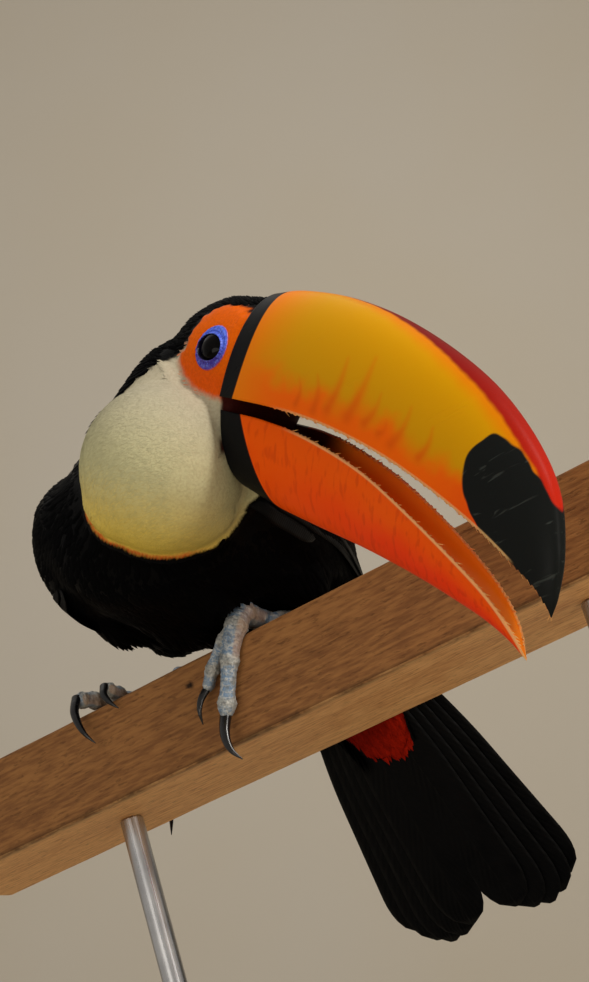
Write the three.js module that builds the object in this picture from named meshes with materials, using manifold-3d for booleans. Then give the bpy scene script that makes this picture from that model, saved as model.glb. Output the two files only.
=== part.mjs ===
/*
 * A toco toucan, life size, gripping a cut length of square timber that stands on two rods and a flat plate.
 * Millimetres, +Z up. The origin is the middle of the plate's underside.
 * Most of the bird is worked out in the perch frame: X runs along the timber to the bird's left, -Y is the way
 * the bird faces, and the origin is on the timber's upper front edge, at the left foot.
 */
import * as THREE from 'three';
import { mergeVertices } from 'three/addons/utils/BufferGeometryUtils.js';
import Module from 'manifold-3d';

// Display stand and perch
const PLATE = { length: 340, width: 284, thickness: 16, corner: 26 };
const PERCH = { left: 180, right: -190, depth: 60, height: 40, top: 310, turn: -4 };
const ROD = { radius: 5, places: [-92, 140], sides: 20 };
const rad = THREE.MathUtils.degToRad;

// The perch frame's origin, with the turned timber centred over the plate
const PERCH_MIDDLE = (PERCH.left + PERCH.right) / 2 * Math.cos(rad(PERCH.turn))
  - PERCH.depth / 2 * Math.sin(rad(PERCH.turn));
const PERCH_ORIGIN = new THREE.Vector3(-PERCH_MIDDLE, -22, PERCH.top);

// Clearance between touching pieces
const GAP = 0.3;

// Head: where the corners of the mouth meet the middle plane, and how the head is turned
const GAPE_POINT = [69.3, -49.8, 60.6];
const HEAD_TURN = { yaw: 65, pitch: -40.4, roll: -8.7 };
const MOUTH_OPENING = 6.5;
const EYE = { forward: -16.4, up: 16, side: 14.6, radius: 8 };

// Along the head from the nape to the bill: forward, up, half-width, height above and below that line
const HEAD_STATIONS = [
  [-57, 5, 16, 19, 19],
  [-44, 6, 20, 25, 25],
  [-28, 7, 22, 31, 31],
  [-12, 8, 21.5, 34, 34],
  [-2, 8, 20, 35.2, 34],
  [6, 8, 17, 31, 31],
];

// Upper half of the bill: ridge forward and up, edge forward and up, half-width
const UPPER_BILL = [
  [-4, 43, -2, 0.5, 20.5],
  [10, 46.5, 12, 2, 20.5],
  [35, 48.8, 36, 4, 19.5],
  [64, 47.4, 62, 4, 18],
  [95, 42, 90, 1.4, 15.8],
  [122, 34, 116, -3.8, 13],
  [146, 21.8, 140, -10.5, 10],
  [162, 8.5, 156, -16.8, 7.2],
  [171, -8, 167, -22, 4.4],
  [174.5, -22, 172.5, -27, 1.6],
  [174.6, -30, 174, -30, 0],
];

// Lower half of the bill, mouth shut: edge forward and up, keel forward and up, half-width
const LOWER_BILL = [
  [-2, -3, 11, -28, 18.4],
  [20, 1.2, 30, -28, 14.5],
  [45, 3.2, 54, -26, 11.5],
  [75, 2.4, 82, -23.2, 9.6],
  [105, -2, 110, -21.4, 8.8],
  [132, -7.6, 133, -20.9, 7.2],
  [150, -12.6, 150, -21.2, 5.2],
  [163, -18.5, 163, -22.7, 3],
  [172.5, -25, 172.5, -25.4, 0],
];
const JAW_HINGE = { forward: -14, up: -3 };
const PALATE_HOLLOW = 0.08;
const JAW_HOLLOW = 0.6;
const RIM = 0.84;

// Body forms in the perch frame: x, y, z, half-width, half-height
const TRUNK_STATIONS = [
  [1, 78, 0, 14, 10],
  [0, 58, 18, 27, 19],
  [-2, 36, 33, 40, 25],
  [-4, 6, 44, 49, 37],
  [-3, -24, 48, 49, 38],
  [0, -46, 50, 42, 34],
  [4, -65, 50, 25, 22],
];
const NECK_STATIONS = [
  [2, -28, 50, 29, 29],
  [14, -45, 63.5, 27.5, 26],
  [28, -45, 77.5, 25, 24],
  [40, -42, 86, 23.5, 23],
  [52, -42, 88, 20, 20],
];
const THROAT_STATIONS = [
  [20, -56, 52, 25, 25],
  [38, -53, 48, 21, 20],
  [53, -50, 42, 15, 14],
];
const BIB = { centre: [20, -56, 51], radius: 31 };

// The surface that a folded wing lies on runs past the rump: x, y, z, half-width, half-height
const WING_STATIONS = [
  [4, -60, 50, 38, 32],
  [-1, -38, 50, 49, 38],
  [-4, -8, 46, 52, 40],
  [-3, 24, 38, 48, 34],
  [-1, 54, 21, 35, 25],
  [1, 84, 0, 22, 15],
  [2, 112, -28, 15, 9],
];
// Along the wing: lower and upper bounds in degrees round the body, and thickness
const WING_BANDS = [
  [4, 40, 4],
  [-28, 62, 10],
  [-34, 72, 12],
  [-34, 76, 11],
  [-16, 78, 8],
  [10, 80, 4.5],
  [38, 80, 2],
];

// Tail: where it leaves the body, the middle of its end, spread and thickness
const TAIL = { root: [8, 60, 12], end: [9, 146, -119], rootHalf: 17, endHalf: 47, thickness: 2.4, bow: 6 };
const TAIL_COVERTS = [
  [2, 52, 18, 24, 16],
  [4, 74, -4, 23, 13],
  [6, 94, -36, 18, 8],
  [8, 106, -58, 10, 4],
];

// Thighs in the perch frame; shanks, toes and claws before they are turned with the timber, left first
const LEGS = {
  left: {
    thigh: [[21, 8, 30, 17, 17], [24, 24, 17.5, 15, 12], [21, 38, 13, 8, 6.5]],
    tarsus: [[18, 38, 8.6, 5, 4.4], [9, 31, 6.6, 4.2, 3.8], [5, 18, 8.2, 4.6, 4], [5.6, 5, 9.6, 5.4, 4.6]],
    toes: [
      { spine: [[8, 16, 5], [4, 27, 4.4], [1, 36, 4.2]], size: [4, 3.1],
        claw: [[1, 36, 4.4], [-1, 44, 5], [-2, 49, 0.5]] },
      { spine: [[4.6, 4, 8.4], [-0.8, -2.6, 0.3], [-8.9, -3.5, -7.6], [-15.2, -3.8, -16.4]], size: [3.6, 2.7],
        claw: [[-15.2, -4.2, -15.6], [-17.5, -6.2, -19], [-18.8, -7.4, -23.5], [-19.7, -6.2, -28.8]] },
      { spine: [[6.2, 3, 9.6], [4.4, -2.2, 2], [0, -4, -7.5], [-5.2, -4.3, -19.6], [-9.4, -4.6, -30]], size: [4.6, 3.3],
        claw: [[-9.4, -4.8, -29.4], [-9.9, -7.2, -34.8], [-9.2, -9, -40.2], [-7.4, -9.6, -45.1], [-4.5, -8.6, -49.2]] },
      { spine: [[10, 14, 5.4], [17, 32, 4.6], [21, 53, 4.7], [22.4, 63, 2], [21.6, 65.2, -8]], size: [4.2, 3.4],
        claw: [[21.6, 65, -9], [20.5, 69, -15], [20, 68, -21], [20, 66.4, -26]] },
    ],
  },
  right: {
    thigh: [[-26, 12, 40, 20, 20], [-40, 31, 34, 20, 17], [-57, 47, 20.5, 12, 9.5]],
    tarsus: [[-59, 50, 16, 5, 4.4], [-64, 46, 8, 4.2, 3.8], [-70, 38, 6.2, 4.4, 4], [-77, 28, 5.6, 5, 4.4]],
    toes: [
      { spine: [[-75, 30, 5], [-70, 38, 4.4], [-67, 46, 4.2]], size: [4, 3.1],
        claw: [[-67, 46, 4.4], [-66, 53, 5], [-66, 58, 1]] },
      { spine: [[-75, 25, 5.2], [-69, 13, 5], [-66.3, 5, 5.2], [-65.5, -0.6, 6]], size: [3.6, 2.7],
        claw: [[-65.6, -1, 6], [-64.6, -3.6, 2.6], [-62.1, -4.2, -1.9], [-59, -3.6, -5.7]] },
      { spine: [[-77, 28, 5.4], [-78, 14, 5.8], [-78.2, 5, 6.2], [-80.2, -1.6, 6.4]], size: [4, 3.1],
        claw: [[-80.2, -2, 6.4], [-79.8, -5.6, 0.9], [-78.1, -7.2, -5.6], [-75.9, -7.2, -10.9], [-73, -6, -15.6]] },
      { spine: [[-79, 29, 5.2], [-87, 42, 4.6], [-94, 54, 4.8], [-98.5, 63.2, 2], [-100, 65.4, -14]], size: [4.2, 3.4],
        claw: [[-100, 65.6, -15], [-100.5, 70, -26], [-100.6, 70, -35], [-100.8, 67, -43.6]] },
    ],
  },
};

const UP = new THREE.Vector3(0, 0, 1);
const SIDES = [['left', 1], ['right', -1]];
const kernel = await Module();
kernel.setup();

/** A closed geometry as a solid that can be joined and cut. */
function toSolid(geometry) {
  const bare = geometry.clone();
  for (const name of Object.keys(bare.attributes)) {
    if (name !== 'position') bare.deleteAttribute(name);
  }
  const merged = mergeVertices(bare, 1e-4);
  return new kernel.Manifold(new kernel.Mesh({
    numProp: 3,
    vertProperties: Float32Array.from(merged.attributes.position.array),
    triVerts: Uint32Array.from(merged.index.array),
  }));
}

/** A solid back as a geometry. */
function toGeometry(solid) {
  const mesh = solid.getMesh();
  const geometry = new THREE.BufferGeometry();
  geometry.setAttribute('position', new THREE.BufferAttribute(Float32Array.from(mesh.vertProperties), 3));
  geometry.setIndex(Array.from(mesh.triVerts));
  geometry.computeVertexNormals();
  return geometry;
}

/** The geometry with some solids cut out of it; where that leaves crumbs, only the main piece stays. */
function carve(geometry, cutters) {
  const cut = cutters.reduce((body, cutter) => body.subtract(cutter), toSolid(geometry));
  const pieces = cut.decompose().sort((a, b) => b.volume() - a.volume());
  return toGeometry(pieces[0]);
}

/** All geometries as one. */
function fuse(...geometries) {
  return toGeometry(geometries.map(toSolid).reduce((body, next) => body.add(next)));
}

/** Equal rings of points joined into a closed skin, with a fan to one point at each end. */
function skinOver(rings, startPole, endPole) {
  const sides = rings[0].length;
  const points = [...rings.flat(), startPole, endPole];
  const start = rings.length * sides;
  const index = [];
  for (let side = 0; side < sides; side += 1) {
    const next = (side + 1) % sides;
    index.push(start, next, side);
    for (let ring = 0; ring < rings.length - 1; ring += 1) {
      const low = ring * sides;
      const high = low + sides;
      index.push(low + side, low + next, high + next, low + side, high + next, high + side);
    }
    const last = start - sides;
    index.push(start + 1, last + side, last + next);
  }
  let volume = 0;
  for (let i = 0; i < index.length; i += 3) {
    const [a, b, c] = [points[index[i]], points[index[i + 1]], points[index[i + 2]]];
    volume += a.dot(b.clone().cross(c));
  }
  if (volume < 0) index.reverse();
  const geometry = new THREE.BufferGeometry().setFromPoints(points);
  geometry.setIndex(index);
  return geometry;
}

/** Smooth curves through the columns of a table of stations, read at any place from 0 to 1. */
function between(stations) {
  const columns = stations[0].length;
  const curves = [];
  for (let column = 0; column < columns; column += 3) {
    const knots = stations.map((row) => new THREE.Vector3(...[0, 1, 2].map((axis) => row[column + axis] ?? 0)));
    curves.push(new THREE.CatmullRomCurve3(knots, false, 'catmullrom', 0.5));
  }
  return (place) => curves.flatMap((curve) => curve.getPoint(place).toArray()).slice(0, columns);
}

/** Side and up directions square to a spine at one place. */
function crossDirections(read, place, up) {
  const step = 0.01;
  const ahead = new THREE.Vector3(...read(Math.min(1, place + step)));
  const behind = new THREE.Vector3(...read(Math.max(0, place - step)));
  const along = ahead.sub(behind).normalize();
  const side = new THREE.Vector3().crossVectors(along, up).normalize();
  return { side, rise: new THREE.Vector3().crossVectors(side, along) };
}

/** Size of a rounded end: a quarter ellipse over the first and last parts of the spine. */
function roundedEnds(place, first, last) {
  const head = first > 0 ? Math.min(1, place / first) : 1;
  const tail = last > 0 ? Math.min(1, (1 - place) / last) : 1;
  return Math.sqrt(1 - (1 - head) ** 2) * Math.sqrt(1 - (1 - tail) ** 2);
}

/** A limb with oval sections; stations are x, y, z, half-width, height above and, if it differs, below. */
function limb(stations, { rings, sides, first = 0.2, last = 0.2, grow = 0, up = UP }) {
  const read = between(stations);
  const loops = [];
  for (let ring = 0; ring <= rings; ring += 1) {
    const even = ring / rings;
    const place = THREE.MathUtils.lerp(even, (1 - Math.cos(Math.PI * even)) / 2, 0.7);
    if ((ring === 0 && first > 0) || (ring === rings && last > 0)) continue;
    const [x, y, z, wide, above, below = above] = read(place);
    const { side, rise } = crossDirections(read, place, up);
    const size = roundedEnds(place, first, last);
    const loop = [];
    for (let step = 0; step < sides; step += 1) {
      const angle = (step / sides) * 2 * Math.PI;
      const tall = Math.sin(angle) > 0 ? above : below;
      loop.push(new THREE.Vector3(x, y, z)
        .addScaledVector(side, Math.cos(angle) * (wide * size + grow))
        .addScaledVector(rise, Math.sin(angle) * (tall * size + grow)));
    }
    loops.push(loop);
  }
  const start = new THREE.Vector3(...read(0));
  const end = new THREE.Vector3(...read(1));
  const outward = (tip, inner) => tip.clone().sub(inner).normalize().multiplyScalar(grow);
  start.add(outward(start, new THREE.Vector3(...read(0.05))));
  end.add(outward(end, new THREE.Vector3(...read(0.95))));
  return skinOver(loops, start, end);
}

/** The head's own frame: X forward along the bill, Y to the bird's left, Z up out of the crown. */
function headMatrix() {
  const { yaw, pitch, roll } = HEAD_TURN;
  const level = new THREE.Vector3(Math.sin(rad(yaw)), -Math.cos(rad(yaw)), 0);
  const forward = level.clone().multiplyScalar(Math.cos(rad(pitch))).addScaledVector(UP, Math.sin(rad(pitch)));
  const crown = level.clone().multiplyScalar(-Math.sin(rad(pitch))).addScaledVector(UP, Math.cos(rad(pitch)));
  const right = new THREE.Vector3().crossVectors(forward, crown);
  const up = crown.multiplyScalar(Math.cos(rad(roll))).addScaledVector(right, Math.sin(rad(roll)));
  const left = new THREE.Vector3().crossVectors(up, forward);
  return new THREE.Matrix4().makeBasis(forward, left, up).setPosition(...GAPE_POINT);
}

const HEAD = headMatrix();
const turned = (geometry) => geometry.applyMatrix4(HEAD);

/** The head, from the nape to inside the bill's root. */
function headForm(grow) {
  const stations = HEAD_STATIONS.map(([forward, up, wide, above, below]) => [forward, 0, up, wide, above, below]);
  return turned(limb(stations, { rings: 12, sides: 20, first: 0.26, last: 0.14, grow }));
}

/** An eyeball, on the left (1) or the right (-1). */
function eyeBall(hand, grow) {
  const ball = new THREE.SphereGeometry(EYE.radius + grow, 10, 8);
  return turned(ball.translate(EYE.forward, hand * EYE.side, EYE.up));
}

/** Half of the bill: a vaulted outer wall from edge to ridge or keel, and a shallow or deep hollow between. */
function billHalf(stations, { rings, arch, hollow, fullness }) {
  const read = between(stations);
  const loops = [];
  for (let ring = 0; ring < rings; ring += 1) {
    const place = ring / rings;
    const [ridgeX, ridgeZ, edgeX, edgeZ, wide] = read(place);
    const ridge = new THREE.Vector3(ridgeX, 0, ridgeZ);
    const edge = new THREE.Vector3(edgeX, 0, edgeZ);
    const loop = [];
    for (let step = 0; step <= arch; step += 1) {
      const angle = (step / arch) * Math.PI;
      const across = Math.sign(Math.cos(angle)) * Math.abs(Math.cos(angle)) ** fullness;
      const rise = Math.sin(angle) ** fullness;
      loop.push(edge.clone().lerp(ridge, rise).add(new THREE.Vector3(0, wide * across, 0)));
    }
    const inner = arch / 2;
    const depth = hollow * Math.sin(Math.PI * Math.min(1, place + 0.12)) ** 0.5;
    for (let step = 1; step < inner; step += 1) {
      const angle = Math.PI * (1 - step / inner);
      const across = Math.cos(angle) * RIM;
      loop.push(edge.clone().lerp(ridge, depth * Math.sin(angle) ** 0.8).add(new THREE.Vector3(0, wide * across, 0)));
    }
    loops.push(loop);
  }
  const middle = (loop) => loop.reduce((sum, point) => sum.add(point), new THREE.Vector3()).divideScalar(loop.length);
  const [tipX, tipZ] = stations[stations.length - 1];
  return skinOver(loops, middle(loops[0]), new THREE.Vector3(tipX, 0, tipZ));
}

function upperBill() {
  return turned(billHalf(UPPER_BILL, { rings: 18, arch: 12, hollow: PALATE_HOLLOW, fullness: 0.86 }));
}

function lowerBill() {
  const keelFirst = LOWER_BILL.map(([edgeX, edgeZ, keelX, keelZ, wide]) => [keelX, keelZ, edgeX, edgeZ, wide]);
  const half = billHalf(keelFirst, { rings: 17, arch: 12, hollow: JAW_HOLLOW, fullness: 0.86 });
  half.translate(-JAW_HINGE.forward, 0, -JAW_HINGE.up);
  half.rotateY(rad(MOUTH_OPENING));
  return turned(half.translate(JAW_HINGE.forward, 0, JAW_HINGE.up));
}

const trunkForm = (grow) => limb(TRUNK_STATIONS, { rings: 13, sides: 20, first: 0.14, last: 0.22, grow });

const neckForm = (grow) => fuse(
  limb(NECK_STATIONS, { rings: 8, sides: 16, first: 0.2, last: 0.3, grow, up: new THREE.Vector3(-0.5, 0.3, 0.8) }),
  limb(THROAT_STATIONS, { rings: 6, sides: 12, first: 0.3, last: 0.4, grow }),
  new THREE.SphereGeometry(BIB.radius + grow, 16, 10).translate(...BIB.centre),
);

/** A folded wing: a curved plate wrapped round the body between two bounds, on the left (1) or right (-1). */
function wing(hand, grow) {
  const guide = between(WING_STATIONS);
  const band = between(WING_BANDS);
  const rings = 13;
  const across = 6;
  const loops = [];
  for (let ring = 1; ring < rings; ring += 1) {
    const place = ring / rings;
    const [x, y, z, wide, tall] = guide(place);
    const [low, high, thickness] = band(place);
    const { rise } = crossDirections(guide, place, UP);
    const narrow = Math.sqrt(Math.min(1, place * 5));
    const middle = (low + high) / 2;
    const point = (part, height) => {
      const angle = rad(middle + (part - 0.5) * (high - low) * narrow);
      return new THREE.Vector3(x, y, z)
        .addScaledVector(new THREE.Vector3(hand, 0, 0), Math.cos(angle) * (wide + height))
        .addScaledVector(rise, Math.sin(angle) * (tall + height));
    };
    const loop = [];
    for (let step = 0; step <= across; step += 1) {
      const part = step / across;
      const swell = 0.25 + 0.75 * Math.sin(Math.PI * part) ** 0.6;
      loop.push(point(part * (1 + grow / 50) - grow / 100, GAP + thickness * swell + grow));
    }
    for (let step = across; step >= 0; step -= 1) {
      loop.push(point((step / across) * (1 + grow / 50) - grow / 100, GAP - grow));
    }
    loops.push(loop);
  }
  const centre = (loop) => loop.reduce((sum, p) => sum.add(p), new THREE.Vector3()).divideScalar(loop.length);
  const first = centre(loops[0]).add(centre(loops[0]).sub(centre(loops[1])).multiplyScalar(0.3));
  const final = loops.length - 1;
  const last = centre(loops[final]).add(centre(loops[final]).sub(centre(loops[final - 1])).multiplyScalar(0.9));
  return skinOver(loops, first, last);
}

/** Half of the tail fan, with a rounded end, on the left (1) or right (-1). */
function tailFan(hand) {
  const root = new THREE.Vector3(...TAIL.root);
  const end = new THREE.Vector3(...TAIL.end);
  const length = root.distanceTo(end);
  const along = end.clone().sub(root).normalize();
  const side = new THREE.Vector3(hand, 0, 0).addScaledVector(along, -along.x * hand).normalize();
  const back = new THREE.Vector3().crossVectors(along, side).multiplyScalar(hand);
  const rings = 10;
  const across = 5;
  const split = 0.6;
  const loops = [];
  for (let ring = 0; ring < rings; ring += 1) {
    const place = Math.sin((ring / rings) * Math.PI / 2);
    const reach = THREE.MathUtils.lerp(TAIL.rootHalf, TAIL.endHalf, place);
    const taper = Math.sqrt(1 - Math.max(0, (place - 0.86) / 0.14) ** 2.6);
    const centre = split + (reach - split) / 2;
    const half = ((reach - split) / 2) * taper;
    const point = (part, height) => {
      const out = centre + (2 * part - 1) * half;
      const sag = -TAIL.bow * (out / TAIL.endHalf) ** 2;
      return root.clone().addScaledVector(along, place * length)
        .addScaledVector(side, out).addScaledVector(back, sag + height);
    };
    const loop = [];
    for (let step = 0; step <= across; step += 1) loop.push(point(step / across, TAIL.thickness / 2));
    for (let step = across; step >= 0; step -= 1) loop.push(point(step / across, -TAIL.thickness / 2));
    loops.push(loop);
  }
  const middle = (loop) => loop.reduce((sum, p) => sum.add(p), new THREE.Vector3()).divideScalar(loop.length);
  const tip = middle(loops[rings - 1]).addScaledVector(along, 0.4);
  return skinOver(loops, middle(loops[0]), tip);
}

const tailBase = (grow) => limb(TAIL_COVERTS, { rings: 8, sides: 12, first: 0.2, last: 0.25, grow });

/** Anything on the timber, turned with it about the perch frame's upright axis. */
const onPerch = (geometry) => geometry.rotateZ(rad(PERCH.turn));

/** The perch, a squared timber with its edges slightly eased. */
function timber(grow) {
  const ease = 1.2;
  const outline = new THREE.Shape();
  const [low, high, far] = [-PERCH.height - grow, grow, PERCH.depth + grow];
  outline.moveTo(-grow + ease, low);
  outline.lineTo(far - ease, low);
  outline.lineTo(far, low + ease);
  outline.lineTo(far, high - ease);
  outline.lineTo(far - ease, high);
  outline.lineTo(-grow + ease, high);
  outline.lineTo(-grow, high - ease);
  outline.lineTo(-grow, low + ease);
  const beam = new THREE.ExtrudeGeometry(outline, { depth: PERCH.left - PERCH.right, bevelEnabled: false });
  beam.applyMatrix4(new THREE.Matrix4().makeBasis(
    new THREE.Vector3(0, 1, 0), new THREE.Vector3(0, 0, 1), new THREE.Vector3(1, 0, 0),
  ));
  return onPerch(beam.translate(PERCH.right, 0, 0));
}

const thigh = (stations, grow) => limb(stations, { rings: 7, sides: 12, grow });
const shank = (stations, grow) => onPerch(limb(stations, { rings: 7, sides: 8, first: 0.08, last: 0.12, grow }));

/** A toe: a jointed, tapering finger along its spine. */
function toe({ spine, size: [start, end] }, grow) {
  const stations = spine.map(([x, y, z], i) => {
    const radius = THREE.MathUtils.lerp(start, end, i / (spine.length - 1));
    return [x, y, z, radius, radius * 0.9];
  });
  const up = new THREE.Vector3(0.9, -0.3, 0.3);
  return onPerch(limb(stations, { rings: 2 * spine.length + 1, sides: 7, first: 0.12, last: 0.12, grow, up }));
}

/** A claw: a curved horn that narrows to a point. */
function claw({ claw: spine, size: [, end] }) {
  const stations = spine.map(([x, y, z], i) => {
    const radius = end * 0.56 * (1 - (i / (spine.length - 1)) ** 1.6) + 0.42;
    return [x, y, z, radius * 0.8, radius];
  });
  return onPerch(limb(stations, { rings: 6, sides: 6, first: 0, last: 0, up: new THREE.Vector3(1, 0, 0.05) }));
}

/** The flat plate of the stand. */
function plate() {
  const { length, width, thickness, corner } = PLATE;
  const [x, y] = [length / 2, width / 2];
  const outline = new THREE.Shape();
  outline.moveTo(-x + corner, -y);
  outline.lineTo(x - corner, -y);
  outline.absarc(x - corner, -y + corner, corner, -Math.PI / 2, 0);
  outline.absarc(x - corner, y - corner, corner, 0, Math.PI / 2);
  outline.absarc(-x + corner, y - corner, corner, Math.PI / 2, Math.PI);
  outline.absarc(-x + corner, -y + corner, corner, Math.PI, 1.5 * Math.PI);
  const slab = new THREE.ExtrudeGeometry(outline, { depth: thickness, bevelEnabled: false, curveSegments: 6 });
  return slab.translate(-PERCH_ORIGIN.x, -PERCH_ORIGIN.y, -PERCH_ORIGIN.z);
}

/** A rod from the plate up to the underside of the timber. */
function rod(x) {
  const foot = PLATE.thickness + GAP;
  const height = PERCH.top - PERCH.height - GAP - foot;
  const bar = new THREE.CylinderGeometry(ROD.radius, ROD.radius, height, ROD.sides);
  bar.rotateX(Math.PI / 2);
  return onPerch(bar.translate(x, PERCH.depth / 2, foot + height / 2 - PERCH.top));
}

const finish = (color, roughness, metalness = 0) => new THREE.MeshStandardMaterial({ color, roughness, metalness });
const FINISHES = {
  cream: finish(0xe6dfc0, 0.8),
  black: finish(0x0b0b0d, 0.6),
  orangeBill: finish(0xe07a0c, 0.4),
  redBill: finish(0xdd4d12, 0.4),
  eye: finish(0x070605, 0.08),
  foot: finish(0x8f9aa6, 0.6),
  claw: finish(0x111214, 0.3),
  wood: finish(0x8a5c36, 0.6),
  stand: finish(0x3a3b3d, 0.5),
  steel: finish(0xa9abae, 0.3, 0.9),
};

const toucan = new THREE.Group();
const perched = new THREE.Group();
perched.position.copy(PERCH_ORIGIN);
toucan.add(perched);

// The room that the pieces placed so far take up, with their clearance
const taken = [];

/** Places one named piece on the perch, cut clear of every piece placed before it. */
function place(name, form, material) {
  const mesh = new THREE.Mesh(carve(form(0), taken), material);
  mesh.name = name;
  perched.add(mesh);
  taken.push(toSolid(form(GAP)));
}

place('perch_beam', timber, FINISHES.wood);
for (const [hand, side] of SIDES) {
  place(`eye_${hand}`, (grow) => eyeBall(side, grow), FINISHES.eye);
  place(`thigh_${hand}`, (grow) => thigh(LEGS[hand].thigh, grow), FINISHES.black);
}
place('trunk', trunkForm, FINISHES.black);
place('head', headForm, FINISHES.cream);
place('neck', neckForm, FINISHES.cream);
place('bill_upper', upperBill, FINISHES.orangeBill);
place('bill_lower', lowerBill, FINISHES.redBill);
place('tail_base', tailBase, FINISHES.black);
for (const [hand, side] of SIDES) place(`wing_${hand}`, (grow) => wing(side, grow), FINISHES.black);
for (const [hand, side] of SIDES) {
  const { tarsus, toes } = LEGS[hand];
  place(`tail_feathers_${hand}`, () => tailFan(side), FINISHES.black);
  place(`tarsus_${hand}`, (grow) => shank(tarsus, grow), FINISHES.foot);
  toes.forEach((digit, i) => place(`toe_${hand}_${i + 1}`, (grow) => toe(digit, grow), FINISHES.foot));
  toes.forEach((digit, i) => place(`claw_${hand}_${i + 1}`, () => claw(digit), FINISHES.claw));
}
ROD.places.forEach((x, number) => place(`stand_rod_${number + 1}`, () => rod(x), FINISHES.steel));
place('stand_base', plate, FINISHES.stand);

export default toucan;
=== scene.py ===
"""Toco toucan on a cut timber: plumage, bill, eyes, feet, perch and stand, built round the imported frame.

Shapes are worked out in millimetres in the perch frame, as the solids are: X runs along the timber to the
bird's left, -Y is the way the bird faces, and the origin is on the timber's upper front edge. They are put
into the meshes in metres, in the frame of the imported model.
"""

import functools
import math

import bpy
import numpy as np
from mathutils import Matrix, Vector


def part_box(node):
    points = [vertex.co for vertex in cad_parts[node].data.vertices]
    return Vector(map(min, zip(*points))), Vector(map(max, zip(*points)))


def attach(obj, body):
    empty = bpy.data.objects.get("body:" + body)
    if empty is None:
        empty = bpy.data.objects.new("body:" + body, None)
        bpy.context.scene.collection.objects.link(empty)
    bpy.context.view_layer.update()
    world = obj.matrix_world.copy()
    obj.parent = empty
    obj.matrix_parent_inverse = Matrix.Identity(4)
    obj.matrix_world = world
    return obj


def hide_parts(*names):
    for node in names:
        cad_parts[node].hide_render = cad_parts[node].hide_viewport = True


bl_info = {
    "name": "Toucan on a timber",
    "version": (1, 0, 0),
    "blender": (4, 5, 0),
    "location": "3D View > Sidebar > Toucan",
    "description": "Builds the plumage, bill, eyes, feet, perch and stand of a life-size toucan",
    "category": "Object",
}

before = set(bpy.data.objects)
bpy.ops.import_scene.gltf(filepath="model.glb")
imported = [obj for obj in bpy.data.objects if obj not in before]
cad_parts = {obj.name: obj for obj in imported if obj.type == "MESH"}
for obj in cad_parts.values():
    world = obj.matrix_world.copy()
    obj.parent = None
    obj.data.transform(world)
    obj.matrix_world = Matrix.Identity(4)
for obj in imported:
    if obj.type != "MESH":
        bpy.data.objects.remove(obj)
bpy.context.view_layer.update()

MM = 0.001
# The timber in the perch frame before it is turned about the upright axis, and where that frame stands
PERCH_LEFT, PERCH_RIGHT = 180.0, -190.0
PERCH_DEPTH, PERCH_HEIGHT = 60.0, 40.0
PERCH_TURN = math.radians(-4)
BEAM_LOW, BEAM_HIGH = (np.array(corner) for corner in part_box("perch_beam"))
PERCH_ORIGIN = np.array([BEAM_LOW[0], BEAM_LOW[1], BEAM_HIGH[2]]) - np.array(
    [PERCH_RIGHT * math.cos(PERCH_TURN), PERCH_LEFT * math.sin(PERCH_TURN), 0]
) * MM

# Head: where the corners of the mouth meet the middle plane, and how the head is turned
GAPE_POINT = np.array([69.3, -49.8, 60.6])
HEAD_YAW, HEAD_PITCH, HEAD_ROLL = (math.radians(angle) for angle in (65, -40.4, -8.7))
EYE_CENTRE = np.array([-15.3, 14.2, 16.2])
EYE_RADIUS = 8.3
# Half-length and half-height of the bare ring round the eye, at its inner and outer edge
LID_INNER, LID_OUTER = np.array([6.6, 4.9]), np.array([8.7, 9.4])

# Along the head from the nape to the bill: forward, across, up, half-width, height above and below that line
HEAD_STATIONS = [
    [-57, 0, 5, 16, 19, 19],
    [-44, 0, 6, 20, 25, 25],
    [-28, 0, 7, 22, 31, 31],
    [-12, 0, 8, 21.5, 34, 34],
    [-2, 0, 8, 20, 35.2, 34],
    [6, 0, 8, 17, 31, 31],
]

# Upper half of the bill: ridge forward and up, edge forward and up, half-width
UPPER_BILL = [
    [-4, 43, -2, 0.5, 20.5],
    [10, 46.5, 12, 2, 20.5],
    [35, 48.8, 36, 4, 19.5],
    [64, 47.4, 62, 4, 18],
    [95, 42, 90, 1.4, 15.8],
    [122, 34, 116, -3.8, 13],
    [146, 21.8, 140, -10.5, 10],
    [162, 8.5, 156, -16.8, 7.2],
    [171, -8, 167, -22, 4.4],
    [174.5, -22, 172.5, -27, 1.6],
    [174.6, -30, 174, -30, 0],
]

# Lower half of the bill with the mouth shut: keel forward and up, edge forward and up, half-width
LOWER_BILL = [
    [11, -28, -2, -3, 18.4],
    [30, -28, 20, 1.2, 14.5],
    [54, -26, 45, 3.2, 11.5],
    [82, -23.2, 75, 2.4, 9.6],
    [110, -21.4, 105, -2, 8.8],
    [133, -20.9, 132, -7.6, 7.2],
    [150, -21.2, 150, -12.6, 5.2],
    [163, -22.7, 163, -18.5, 3],
    [172.5, -25.4, 172.5, -25, 0],
]
JAW_HINGE = np.array([-14.0, 0.0, -3.0])
MOUTH_OPENING = math.radians(6.5)
BILL_FULLNESS = 0.86

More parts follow.
